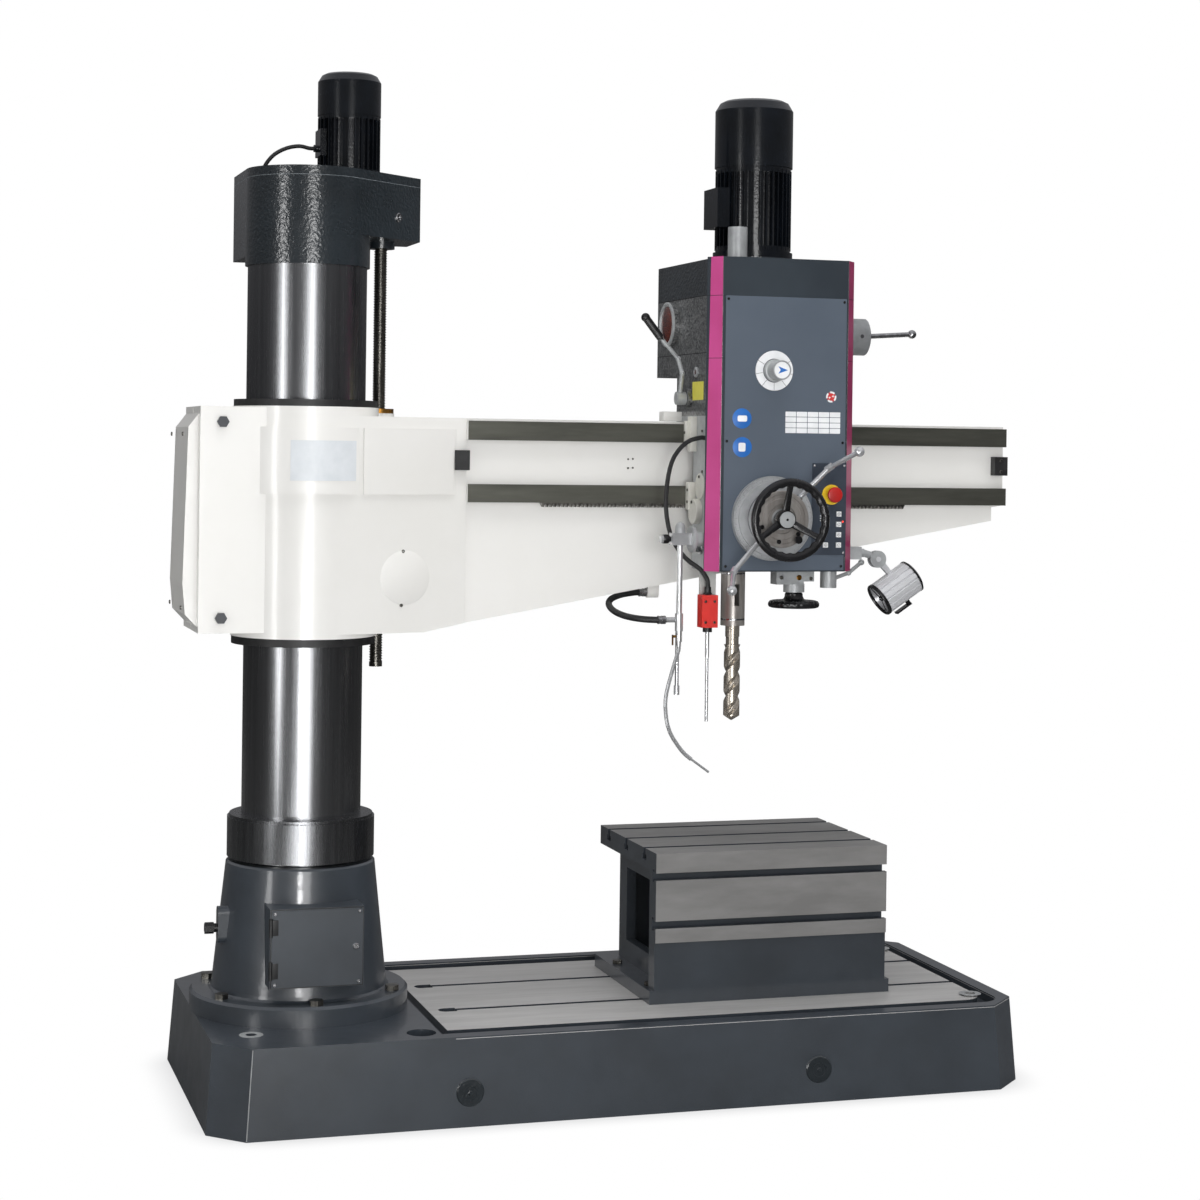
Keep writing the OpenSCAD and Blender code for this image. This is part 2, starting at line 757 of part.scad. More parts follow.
module top_housing() {
  color(charcoal) difference() {
    union() {
      translate([0, 0, housing_z]) cylinder(r = skirt_r, h = wing_z - housing_z + eps, $fn = 96);
      block([-skirt_r, 0, back_skirt_z], [0, screw_y + lift_gear_r + 22, wing_z + eps]);
      translate([0, 0, wing_z]) linear_extrude(housing_z1 - wing_z) housing_plan(0);
      translate([screw_x, screw_y, wing_z - 18]) cylinder(r = screw_r + 22, h = 20);
    }
    translate([0, 0, housing_z - eps]) cylinder(r = column_r, h = column_z1 - housing_z + eps, $fn = 96);
    translate([0, 0, column_z1 - eps]) cylinder(r = column_r - column_wall, h = wing_z + 30 - column_z1);
    translate([0, 0, wing_z + 28]) linear_extrude(housing_z1 - wing_z) housing_plan(wall);
    translate([screw_x, screw_y, wing_z - 20]) cylinder(r = screw_r + run, h = 60);
    translate([lift_motor_x, lift_motor_y, wing_z + 16]) cylinder(r = lift_shaft_r + run, h = 40);
  }
}

module top_cover() {
  color(charcoal) translate([0, 0, housing_z1]) difference() {
    union() {
      linear_extrude(cover_t) housing_plan(0);
      translate([lift_motor_x, lift_motor_y, cover_t - eps]) cylinder(d = lift_motor_d + 10, h = 8);
    }
    translate([lift_motor_x, lift_motor_y, -eps]) cylinder(r = lift_shaft_r + run, h = cover_t + 20);
  }
}

// A motor body with upright fins, and its fan cowl above
module finned_motor(d, h, fins, core) {
  difference() {
    union() {
      cylinder(d = 0.86 * d, h = h);
      cylinder(d = 0.97 * d, h = 0.07 * h);
      translate([0, 0, 0.93 * h]) cylinder(d = 0.97 * d, h = 0.07 * h);
      for (i = [0 : fins - 1]) rotate(i * 360 / fins)
        translate([0.4 * d, -1.6, 0.03 * h]) cube([0.095 * d, 3.2, 0.94 * h]);
    }
    translate([0, 0, 0.1 * h]) cylinder(r = core, h = 0.8 * h);
  }
}

module motor_cowl_shell(d, h) {
  rotate_extrude() polygon([
    [0.36 * d, 0], [d / 2, 0], [d / 2, h - 0.13 * d], [0.44 * d, h - 0.03 * d], [0.38 * d, h], [0, h],
    [0, h - 4], [0.36 * d, h - 4], [d / 2 - 4, h - 0.14 * d], [d / 2 - 4, 4], [0.36 * d, 4]]);
}

module lift_motor() {
  z0 = lift_top + 7;
  body = 0.58 * lift_motor_h;
  color(black) translate([lift_motor_x, lift_motor_y, z0]) difference() {
    union() {
      finned_motor(lift_motor_d, body, 28, 42);
      translate([0, 0, body]) motor_cowl_shell(lift_motor_d, lift_motor_h - body);
      block([-0.5 * lift_motor_d, -42, 52], [-0.4 * lift_motor_d, 42, 132]);
      translate([-0.5 * lift_motor_d - 12, 0, 76]) x_cyl(11, 20);
    }
    translate([0, 0, -eps]) cylinder(r = lift_shaft_r + run, h = body - 10);
  }
}

module lift_cable() {
  color(black) translate([lift_motor_x - 0.5 * lift_motor_d - 12, lift_motor_y, lift_top])
    swept_tube(lift_cable_route, 6);
}

module lift_screw() {
  color(steel) translate([screw_x, screw_y, 0]) {
    translate([0, 0, screw_z0]) cylinder(r = screw_r, h = lift_gear_z0 + lift_gear_t + 12 - screw_z0);
    translate([0, 0, lift_gear_z0 - 12]) cylinder(r = screw_r + 14, h = 11);
  }
}

module lift_gear() {
  color(steel) translate([screw_x, screw_y, lift_gear_z0]) difference() {
    linear_extrude(lift_gear_t) rotate(atan2(lift_motor_y - screw_y, lift_motor_x - screw_x))
      gear_outline(lift_module, lift_gear_z);
    translate([0, 0, -eps]) cylinder(r = screw_r, h = lift_gear_t + 2 * eps);
  }
}

module lift_rotor() {
  mesh_angle = atan2(screw_y - lift_motor_y, screw_x - lift_motor_x) + 180 / lift_pinion_z;
  color(steel) translate([lift_motor_x, lift_motor_y, 0]) {
    translate([0, 0, wing_z + 20])
      cylinder(r = lift_shaft_r, h = lift_top + 0.5 * lift_motor_h - wing_z - 20);
    translate([0, 0, lift_gear_z0]) linear_extrude(lift_gear_t) rotate(mesh_angle)
      gear_outline(lift_module, lift_pinion_z);
    translate([0, 0, lift_top + 40]) cylinder(r = 41.4, h = 90);
  }
}

// Arm, measured from the sleeve's lower edge
function arm_bottom(x) = beam_z + (x - beam_x) * (347 - beam_z) / (arm_l - 38 - beam_x);
function arm_front(x) = 5.5 - sleeve_d / 2 + (x - 48) * (11.5 - ways_y + sleeve_d / 2) / (ways_x0 - 48);

module at_arm() translate([0, 0, arm_z]) children();

// A side outline of the arm, extruded from y0 to y1
module side_plate(points, y0, y1)
  translate([0, y1, 0]) rotate([90, 0, 0]) linear_extrude(y1 - y0) polygon(points);

module beam_plan(front) {
  polygon([
    [0, 1 - sleeve_d / 2], [48, arm_front(48)], [ways_x0, arm_front(ways_x0)], [ways_x0, -front],
    [arm_l, -front], [arm_l, arm_back], [ways_x0 + 20, arm_back], [screw_x + 80, screw_y + 64],
    [0, sleeve_d / 2 - 1]]);
}

module beam() {
  x1 = arm_l - 38;
  intersection() {
    linear_extrude(sleeve_h) beam_plan(web_y);
    side_plate([[0, beam_z], [beam_x, beam_z], [x1, arm_bottom(x1)], [x1, lower_way_z - 6],
      [arm_l, lower_way_z], [arm_l, arm_top], [0, arm_top]], -reach_y, reach_y);
  }
}

module beam_pockets() {
  x0 = ways_x0 + 60;
  pitch = 235;
  rib = 28;
  count = floor((arm_l - 70 - x0) / pitch);
  intersection() {
    for (i = [0 : count - 1])
      block([x0 + i * pitch, 30 - web_y, 0], [x0 + (i + 1) * pitch - rib, arm_back + eps, sleeve_h]);
    side_plate([[x0, arm_bottom(x0) + 34], [arm_l - 70, arm_bottom(arm_l - 70) + 34],
      [arm_l - 70, arm_top - 32], [x0, arm_top - 32]], -reach_y, reach_y);
  }
}

module root_pocket() {
  x0 = screw_x + 82;
  block([x0, 10 - web_y, arm_bottom(x0) + 40], [ways_x0 + 32, screw_y + 100, arm_top - 32]);
}

module clamp_pockets() {
  for (s = [-1, 1]) translate([-clamp_x - eps, s * clamp_w / 4 - 45, block_z0 + 90])
    cube([92, 90, block_z1 - block_z0 - 180]);
}

module arm_casting() {
  color(cream) at_arm() difference() {
    union() {
      cylinder(d = sleeve_d, h = sleeve_h, $fn = 96);
      translate([0, 0, 418]) cylinder(d = sleeve_d + 2 * band_t, h = 193, $fn = 96);
      difference() {
        beam();
        beam_pockets();
        root_pocket();
      }
      block([ways_x0, -ways_y, upper_way_z], [arm_l, -web_y + eps, upper_way_z + upper_way_h]);
      block([ways_x0, -ways_y, lower_way_z], [arm_l, -web_y + eps, lower_way_z + lower_way_h]);
      block([-clamp_x, -clamp_w / 2, block_z0], [0, clamp_w / 2, block_z1]);
      translate([screw_x, screw_y, arm_top - eps]) cylinder(r = nut_r + 12, h = 14);
      translate(hose_boss) x_cyl(16, 36);
      block(hose_boss + [0, -16, 0], [hose_boss[0] + 36, hose_boss[1] + 16, arm_bottom(hose_boss[0]) + 8]);
    }
    translate([0, 0, -eps]) cylinder(r = column_r + run, h = sleeve_h + 2 * eps, $fn = 96);
    block([-clamp_x - eps, -clamp_gap / 2, -eps], [-column_r + 30, clamp_gap / 2, sleeve_h]);
    translate([screw_x, screw_y, -eps]) cylinder(r = screw_r + 4, h = sleeve_h + 30);
    translate([screw_x, screw_y, arm_top + 13 - 90]) cylinder(r = nut_r + run, h = 100);
    for (z = clamp_bolt_z) translate([-clamp_bolt_x, -clamp_w / 2 - eps, z])
      y_cyl(clamp_bolt_d / 2 + run, clamp_w + 2 * eps);
    clamp_pockets();
  }
}

module column_wipers() {
  color(black) at_arm() {
    for (z = [-23, sleeve_h]) translate([0, 0, z]) difference() {
      cylinder(d = sleeve_d - 6, h = z < 0 ? 23 : 20, $fn = 96);
      translate([0, 0, -eps]) cylinder(r = column_r + gap, h = 30, $fn = 96);
    }
  }
}

module clamp_bolts() {
  color(dark_steel) at_arm() for (z = clamp_bolt_z) translate([-clamp_bolt_x, 0, z]) {
    translate([0, -clamp_w / 2, 0]) rotate([90, 0, 0]) hex_bolt(clamp_bolt_d, clamp_w + 20);
    translate([0, clamp_w / 2, 0]) rotate([-90, 0, 0]) difference() {
      cylinder(d = 1.73 * clamp_bolt_d, h = 18, $fn = 6);
      translate([0, 0, -eps]) cylinder(d = clamp_bolt_d, h = 20);
    }
  }
}

module side_cover() {
  y0 = -clamp_w / 2 + 30;
  y1 = clamp_w / 2;
  x = -clamp_x;
  t = 4;
  color(silver) at_arm() difference() {
    side_plate([[x, 34], [x - 34, 70], [x - 42, 158], [x - 30, block_z1 - 60], [x, block_z1 - 20]], y0, y1);
    side_plate([[x + eps, 40], [x - 34 + t, 74], [x - 42 + t, 158], [x - 30 + t, block_z1 - 64],
      [x + eps, block_z1 - 28]], y0 + t, y1 - t);
  }
}

module lift_nut() {
  color(bronze) at_arm() translate([screw_x, screw_y, arm_top + 13]) difference() {
    union() {
      translate([0, 0, -89]) cylinder(r = nut_r, h = 90);
      cylinder(r = nut_r + 10, h = 14);
    }
    translate([0, 0, -90]) cylinder(r = screw_r + run, h = 120);
  }
}

module arm_rack() {
  below = 51;
  above = 42;
  color(dark_steel) at_arm()
    translate([head_x + hub_x - below * PI * traverse_m, -web_y - 1, lower_way_z - pitch_drop])
      mirror([0, 0, 1]) rotate([90, 0, 0]) linear_extrude(ways_t - 4)
        rack_outline(traverse_m, below + above + 1, pitch_drop);
}

module end_stops() {
  x0 = ways_x0 - 39;
  x1 = ways_x0 + 5;
  y = -ways_y - 6;
  color(black) at_arm() {
    translate([0, 0, stop_z]) linear_extrude(stop_h) polygon([
      [x0, y], [x1, y], [x1, -web_y], [ways_x0, -web_y],
      [ways_x0, arm_front(ways_x0)], [x0, arm_front(x0)]]);
    block([arm_l - 42, y, stop_z], [arm_l + 2, -web_y, stop_z + stop_h]);
  }
}

// Drill head, measured from its lower edge and from the spindle axis
module at_head() translate([head_x, 0, head_z]) children();
module on_spindle() at_head() translate([0, -spindle_y, 0]) children();

// Children round the motor's axis
module at_motor() at_head() translate([rotor_x, rotor_y, 0]) children();

// Children on the feed hub's axis, with +Z to the front and the origin on the front cover
module on_hub() at_head() translate([hub_x, panel_y, hub_z]) rotate([90, 0, 0]) children();

module head_casting() {
  chamber_z = floor_z + 47;
  color(charcoal) at_head() difference() {
    union() {
      block([cast_x0, cast_y, 0], [cast_x1, front_y, head_h]);
      block([cast_x0, front_y - eps, head_step], [cast_x1, head_back, head_h]);
      block([cast_x0, front_y - eps, arm_z + arm_top - head_z + gap], [cast_x1, head_knee, head_step + eps]);
      translate([cast_x0 - 14, window_y, window_z]) x_cyl(window_r, 20);
      translate([cast_x0 - 14, left_hub_y, left_hub_z]) x_cyl(30, 20);
      translate([cast_x1 - eps, right_lever_y, right_lever_z]) x_cyl(right_boss_r, right_boss_l);
      translate([0, -spindle_y, head_h - eps]) cylinder(r = 40, h = 8);
      translate([rotor_x, rotor_y, head_h - eps]) cylinder(r = motor_d / 2 + 4, h = 14);
    }
    translate([0, -spindle_y, -eps]) cylinder(r = quill_r + run, h = quill_z1 + 20 + eps, $fn = 96);
    translate([0, -spindle_y, quill_z1]) cylinder(r = 30 + run, h = chamber_z - quill_z1 + eps);
    translate([0, -spindle_y, head_h - 40]) cylinder(r = spline_d / 2 + 4, h = 60);
    block([cast_x0 + 14, cast_y + 8, chamber_z], [cast_x1 - 14, head_back - 14, head_h - 17]);
    block([hub_x + 60, cast_y - eps, 40], [cast_x1 - 14, front_y - 16, floor_z - 20]);
    block([cast_x0 + 40, cast_y - eps, gear_z + gear_t + 20], [cast_x1 - 40, cast_y + 20, head_h - 60]);
    translate([hub_x, cast_y - eps, hub_z]) y_cyl(feed_shaft_r + run, head_d + 2 * eps);
    translate([hub_x, -spindle_y - 15, hub_z]) y_cyl(feed_r + 5, 30);
    translate([rotor_x, rotor_y, chamber_z - 14]) cylinder(r = rotor_shaft_r + run, h = 20);
    translate([rotor_x, rotor_y, head_h - 30]) cylinder(r = rotor_shaft_r + run, h = 60);
    translate([cast_x0 - 15, left_hub_y, left_hub_z]) x_cyl(9 + run, 40);
    translate([cast_x1 + 20, right_lever_y, right_lever_z]) x_cyl(right_boss_r - 12, right_boss_l);
    translate([cast_x1 + right_boss_l - 30, right_lever_y - right_boss_r - eps, right_lever_z])
      y_cyl(6 + run, 2 * right_boss_r + 2 * eps);
    translate([clutch_x, clutch_y, -eps]) cylinder(r = 10 + run, h = 30);
  }
}

module cover_plan(d, back) polygon([
  [cover_x0 + d, back], [cover_x0 + d, cast_y - d / 4], [cover_x0 + cover_slope + d, panel_y + d],
  [cover_x1 - cover_slope - d, panel_y + d], [cover_x1 - d, cast_y - d / 4], [cover_x1 - d, back]]);

module button_holes() {
  side = button_w + 2 * gap;
  for (p = button_places) translate([p[0] - side / 2, panel_y - panel_t - eps, p[1] - side / 2])
    cube([side, 20, side]);
}

module front_cover() {
  color(blue_grey) at_head() difference() {
    linear_extrude(head_h) cover_plan(0, cast_y);
    translate([0, 0, sheet]) linear_extrude(head_h - 2 * sheet) cover_plan(sheet, cast_y + eps);
    translate([hub_x, panel_y - eps, hub_z]) y_cyl(feed_shaft_r + 2, 20);
    translate([knob_x, panel_y - eps, knob_z]) y_cyl(6 + run, 20);
    translate([estop_x, panel_y - eps, estop_z]) y_cyl(9 + run, 20);
    button_holes();
  }
}

module control_panel() {
  color(blue_grey) at_head() difference() {
    union() {
      block([panel_x0, panel_y - panel_t, panel_z0], [panel_x0 + panel_w, panel_y, panel_z0 + panel_h]);
      translate([estop_x, panel_y - panel_t - 3, estop_z]) y_cyl(30, 4);
    }
    translate([estop_x, panel_y - 20, estop_z]) y_cyl(9 + run, 40);
    button_holes();
  }
}

module spindle_motor() {
  color(black) at_motor() translate([0, 0, head_h + 13]) difference() {
    union() {
      cylinder(d = motor_d + 8, h = 18);
      translate([0, 0, 17]) finned_motor(motor_d, motor_h, 36, 56);
      block([-0.5 * motor_d - 20, -62, 90], [-0.42 * motor_d, 62, 210]);
    }
    translate([0, 0, -eps]) cylinder(r = rotor_shaft_r + run, h = motor_h + 40);
  }
}

module motor_cowl() {
  color(black) at_motor() translate([0, 0, head_h + 30 + motor_h]) motor_cowl_shell(motor_d + 3, cowl_h);
}

module spindle_guard() {
  h = spline_z1 - head_h + 8;
  color(silver) on_spindle() translate([0, 0, head_h + 7]) difference() {
    cylinder(d = spline_d + 25, h = h);
    translate([0, 0, -eps]) cylinder(r = spline_d / 2 + 4, h = h - 5);
  }
}

module fine_feed_housing() {
  color(silver) at_head() difference() {
    union() {
      block([fine_x - 66, fine_y - 26, -42], [fine_x + 22, fine_y + 26, 0]);
      block([fine_x + 20, fine_y - 9, -34], [fine_x + 62, fine_y + 9, 0]);
      translate([fine_x, fine_y, -66]) cylinder(r = 32, h = 25);
    }
    translate([fine_x, fine_y, -67]) cylinder(r = 8 + run, h = 60);
  }
}

module limit_switch() {
  color(red) at_head() {
    block([trip_x - 25, trip_y - 22, -169], [trip_x + 25, trip_y + 22, -72]);
    difference() {
      translate([trip_x, trip_y, -183]) cylinder(r = 14, h = 14);
      translate([trip_x, trip_y, -184]) cylinder(r = 8, h = 16);
    }
    translate([trip_x, trip_y, -72]) cylinder(r = 10, h = 24);
    block([trip_x - 18, trip_y + 22, -169], [trip_x + 33, trip_y + 30, 0]);
  }
}

module trip_rod() {
  color(steel) at_head() translate([trip_x, trip_y, 0]) {
    translate([0, 0, -258]) cylinder(r = 6, h = 82);
    translate([0, 0, -177]) sphere(8 - gap);
    translate([0, 0, -450]) cylinder(r = 4.8, h = 193);
  }
}

module switch_cable() {
  color(black) at_head() swept_tube(switch_cable_route, cable_d / 2);
}

module coolant_pipe() {
  color(silver) at_head() translate([pipe_x, pipe_y, 0]) {
    translate([0, 0, -128]) cylinder(d = pipe_d, h = 258);
    translate([0, 0, 130]) sphere(d = pipe_d);
    translate([0, 0, -180]) cylinder(d = pipe_d + 7, h = 52);
    translate([0, 0, -212]) cylinder(d = pipe_d + 2, h = 32);
    translate([-40, 8, -147]) x_cyl(8, 36);
    translate([0, 14, -344]) cylinder(d = 12, h = 164);
    translate([0, 14, -371]) cylinder(d = 17, h = 27);
    difference() {
      union() {
        block([-29, -16, 76], [31, 16, 112]);
        block([30, -7, 84], [cast_x0 - pipe_x, 7, 104]);
      }
      cylinder(d = pipe_d, h = 200);
    }
    translate([-52, 0, 94]) x_cyl(7, 23);
    translate([-62, 0, 94]) x_cyl(13, 11);
  }
}

module coolant_valve() {
  color(bronze) at_head() translate([pipe_x - pipe_d / 2 - 1 - gap, pipe_y, -196]) {
    translate([-8, 0, 0]) x_cyl(4, 8);
    block([-11, -4, -26], [-8, 4, 5]);
  }
}

module coolant_nozzle() {
  color(silver) at_head() translate([pipe_x, pipe_y, -212 - gap]) {
    translate([0, 0, -14]) cylinder(r = 7, h = 14);
    translate([0, 0, -13]) swept_tube(nozzle_route, 6);
    last = nozzle_route[len(nozzle_route) - 1] + [0, 0, -13];
    bar(last + [-4, 0, 3], last + [56, 0, -40], 3.5);
  }
}

module coolant_hose() {
  color(black) swept_tube(hose_route, hose_d / 2);
}

module lamp_mount() {
  color(silver) at_head() difference() {
    block([cast_x1, lamp_y - 18, lamp_mount_z - 19], [lamp_x - 58, lamp_y + 18, lamp_mount_z + 19]);
    translate([lamp_x - 98, lamp_y, lamp_mount_z]) x_cyl(9 + run, 80);
  }
}

module lamp_arm() {
  color(silver) at_head() translate([lamp_x, lamp_y, 0]) difference() {
    union() {
      translate([-90, 0, lamp_mount_z]) x_cyl(9, 34);
      translate([gap - 58, 0, lamp_mount_z]) x_cyl(13, 13);
      bar([-46, 0, lamp_mount_z], [-8, 0, lamp_z + 8], 11);
      translate([0, -12, lamp_z]) y_cyl(26, 24);
    }
    translate([0, -13, lamp_z]) y_cyl(8 + run, 26);
    block([-30, -6 - gap, lamp_z - 40], [30, 6 + gap, lamp_z + 22]);
    translate([-60, -6 - gap, lamp_z - 40]) cube([30, 12.6, 20]);
  }
}

module lamp_head() {
  color(silver) at_head() translate([lamp_x, lamp_y, lamp_z]) {
    translate([0, -14, 0]) y_cyl(8, 28);
    difference() {
      translate([0, -6, 0]) y_cyl(18, 12);
      translate([0, -13, 0]) y_cyl(8, 26);
    }
    hull() {
      translate([0, -6, -8]) cube([10, 12, 4]);
      translate([32, -6, -42]) cube([14, 12, 4]);
    }
    translate([64, 0, -88]) rotate([0, -90 - lamp_tilt, 0]) rotate([0, 0, 15]) difference() {
      translate([0, 0, -lamp_l / 2]) cylinder(d = lamp_d, h = lamp_l, $fn = 12);
      translate([0, 0, lamp_l / 2 - 10]) cylinder(d = lamp_d - 16, h = 12);
    }
  }
}

// Quill and spindle
module quill() {
  above = 37;
  below = 3;
  color(dark_steel) on_spindle() difference() {
    union() {
      difference() {
        translate([0, 0, quill_z0]) cylinder(r = quill_r, h = quill_z1 - quill_z0, $fn = 96);
        block([rack_x - 6, -14, quill_z0 + 40], [quill_r + eps, 14, quill_z1 - 10]);
      }
      translate([rack_x, 7, hub_z + above * PI * feed_m]) rotate([0, 90, 0]) rotate([90, 0, 0])
        linear_extrude(14) rack_outline(feed_m, above + below + 1, 8);
    }
    translate([0, 0, quill_z0 - eps]) cylinder(r = spline_d / 2 + 4 + run, h = quill_z1);
    translate([0, 0, quill_z0 - eps]) cylinder(r = nose_r - 8 + run, h = 60);
  }
}

module spindle() {
  color(dark_steel) on_spindle() difference() {
    union() {
      translate([0, 0, -nose_l]) cylinder(r = nose_r, h = nose_l + quill_z0 - gap);
      translate([0, 0, -10]) cylinder(r = nose_r - 8, h = 74 - gap);
      translate([0, 0, 60]) cylinder(r = spline_d / 2 + 4, h = quill_z1 - 60);
      translate([0, 0, quill_z1 - eps]) cylinder(r = spline_d / 2, h = spline_z1 - quill_z1);
    }
    translate([0, 0, -nose_l - eps]) cylinder(d = drill_d - 8, h = 60);
    block([-8, -nose_d, 60 - nose_l], [8, nose_d, 125 - nose_l]);
  }
}

module drill_bit() {
  color(dark_steel) on_spindle() {
    translate([0, 0, -nose_l]) cylinder(d = drill_d - 8, h = 58);
    translate([0, 0, -nose_l - 34]) cylinder(d = drill_d - 6, h = 34);
    translate([0, 0, -nose_l - drill_l + 18]) cylinder(d = drill_d, h = drill_l - 52);
    translate([0, 0, -nose_l - drill_l]) cylinder(d1 = 4, d2 = drill_d, h = 18);
  }
}

module spindle_gear() {
  color(steel) on_spindle() difference() {
    union() {
      translate([0, 0, quill_z1 + 22]) cylinder(r = 30, h = gear_z + gear_t + 12 - quill_z1 - 22);
      translate([0, 0, gear_z]) linear_extrude(gear_t) rotate(atan2(rotor_y + spindle_y, rotor_x))
        gear_outline(gear_m, sleeve_z);
    }
    translate([0, 0, quill_z1]) cylinder(r = spline_d / 2 + run, h = gear_z);
  }
}

module spindle_rotor() {
  mesh_angle = atan2(-rotor_y - spindle_y, -rotor_x) + 180 / rotor_z;
  color(steel) at_motor() {
    translate([0, 0, floor_z + 36]) cylinder(r = rotor_shaft_r, h = head_h + motor_h - floor_z);
    translate([0, 0, gear_z]) linear_extrude(gear_t) rotate(mesh_angle) gear_outline(gear_m, rotor_z);
    translate([0, 0, head_h + 62]) cylinder(r = 55, h = motor_h - 60);
  }
}

// Feed hub and handwheel, from the front cover outwards
module feed_hub() {
  reach = cover_d + head_d - 20;
  pinion_back = panel_y + spindle_y - 12;
  color(silver) on_hub() difference() {
    union() {
      translate([0, 0, 2]) cylinder(d = dial_d, h = 16, $fn = 96);
      translate([0, 0, 17]) cylinder(d = dial_d - 30, h = 12, $fn = 96);
      translate([0, 0, 28]) cylinder(d = drum_d, h = 58);
      translate([0, 0, -reach]) cylinder(r = feed_shaft_r, h = reach + 10);
      translate([0, 0, pinion_back]) linear_extrude(24) gear_outline(feed_m, feed_z);
    }
    translate([0, 0, -reach - eps]) cylinder(r = wheel_shaft_r + run, h = reach + 100);
  }
}

module feed_levers() {
  r0 = drum_d / 2 - 3;
  knee_out = 88;
  color(steel) on_hub() for (a = [lever_angle, lever_angle + 180]) rotate(a) {
    bar([r0, 0, 70], [lever_knee_r, 0, knee_out], 8);
    bar([lever_knee_r - 9, 0, knee_out - 6], [lever_knee_r + 9, 0, knee_out + 9], 10.5);
    ball_bar([lever_knee_r, 0, knee_out], [lever_r, 0, lever_out], 7, ball_d / 2);
  }
}

module handwheel() {
  shaft_back = ways_y + panel_y - ways_t + 1;
  rim_r = wheel_d / 2 - 12;
  hub_face = wheel_out - 23;
  color(black) on_hub() {
    translate([0, 0, shaft_back]) cylinder(r = wheel_shaft_r, h = hub_face - shaft_back);
    translate([0, 0, shaft_back]) linear_extrude(ways_t - 4) rotate(90 + 180 / traverse_z)
      gear_outline(traverse_m, traverse_z);
    translate([0, 0, 90]) cylinder(r = 28, h = hub_face - 90);
    translate([0, 0, wheel_out]) rotate_extrude($fn = 96) translate([rim_r, 0]) circle(12, $fn = 24);
    for (a = [90, 210, 330]) rotate(a) side_plate([[20, hub_face - 22], [rim_r, wheel_out - 6],
      [rim_r, wheel_out + 6], [20, hub_face - 8]], -11, 11);
  }
}

module fine_feed_wheel() {
  rim_r = fine_wheel_d / 2 - 10;
  color(black) at_head() translate([fine_x, fine_y, -103]) {
    cylinder(r = 8, h = 90);
    cylinder(r = 26, h = 36);
    cylinder(r1 = rim_r, r2 = 26, h = 22);
    rotate_extrude($fn = 96) translate([rim_r, 2]) circle(10, $fn = 24);
  }
}

module feed_clutch_lever() {
  knee = [72, 14, -10];
  tip = [118, 24, 22];
  color(silver) at_head() translate([clutch_x, clutch_y, 0]) {
    translate([0, 0, -3]) cylinder(r = 10, h = 28);
    translate([0, 0, -54]) cylinder(r = 25, h = 53);
    ball_bar([20, 4, -26], knee, 6, 8.5);
    ball_bar(knee, tip, 6, 9.5);
  }
}

module speed_knob() {
  color(silver) at_head() translate([knob_x, panel_y, knob_z]) rotate([90, 0, 0]) {
    translate([0, 0, -sheet - 20]) cylinder(r = 6, h = 30);
    translate([0, 0, 1.5]) cylinder(r = 34, h = 18);
    translate([0, 0, 18]) cylinder(r = 29, h = 50);
  }
}

module gear_lever_left() {
  first = [-34, -26, 76];
  second = [-44, -16, 120];
  grip = [-104, -21, 183];
  tip = [-152, -21, 243];
  color(silver) at_head() translate([cast_x0, left_hub_y, left_hub_z]) {
    translate([-16, 0, 0]) x_cyl(9, 38);
    translate([-44, 0, 0]) x_cyl(20, 29);
    bar([-32, 0, 10], first, 7);
    translate(first) sphere(8.5);
    bar(first, second, 6.8);
    translate(second) sphere(8.5);
    bar(second, grip + [-4, 0, 5], 6);
    bar(grip, tip, 12);
    translate(tip) sphere(13.5);
  }
}

module gear_lever_right() {
  x = cast_x1 + right_boss_l - 30;
  color(steel) at_head() translate([x, right_lever_y, right_lever_z]) {
    translate([0, -right_boss_r, 0]) y_cyl(6, 2 * right_boss_r);
    translate([0, -12, 0]) y_cyl(14, 24);
    ball_bar([0, 0, 0], [189, 0, 13], 7.5, 13.5);
  }
}

module estop() {
  color(red) at_head() translate([estop_x, panel_y - panel_t - 3, estop_z]) rotate([90, 0, 0]) {
    translate([0, 0, -26]) cylinder(r = 9, h = 40);
    translate([0, 0, 12]) cylinder(d1 = 0.7 * estop_d, d2 = estop_d, h = 12);
    translate([0, 0, 24]) cylinder(d = estop_d, h = 8);
  }
}

module button(i) {
  p = button_places[i];
  color("white") at_head()
    translate([p[0] - button_w / 2, panel_y - panel_t - button_out, p[1] - button_w / 2])
      cube([button_w, button_depth, button_w]);
}
module button_1() button(0);
module button_2() button(1);
module button_3() button(2);
module button_4() button(3);
module button_5() button(4);

base_casting();
pedestal();
base_bolts();
terminal_cover();
main_switch();
inner_column();
column_bearings();
worktable();
outer_column();
column_ring();
top_housing();
top_cover();
lift_motor();
lift_cable();
lift_screw();
lift_gear();
lift_rotor();
arm_casting();
column_wipers();
clamp_bolts();
side_cover();
lift_nut();
arm_rack();
end_stops();
head_casting();
front_cover();
control_panel();
spindle_motor();
motor_cowl();
spindle_guard();
fine_feed_housing();
limit_switch();
switch_cable();
coolant_pipe();
coolant_hose();
lamp_mount();
quill();
spindle();
drill_bit();
spindle_gear();
spindle_rotor();
feed_hub();
feed_levers();
handwheel();
fine_feed_wheel();
feed_clutch_lever();
speed_knob();
gear_lever_left();
gear_lever_right();
estop();
button_1();
button_2();
button_3();
button_4();
button_5();
coolant_nozzle();
coolant_valve();
lamp_arm();
lamp_head();
trip_rod();
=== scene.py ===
"""Radial arm drill: the visual model round its CAD frame. Lengths are millimetres unless said."""

import math

import bmesh
import bpy
from mathutils import Matrix, Vector

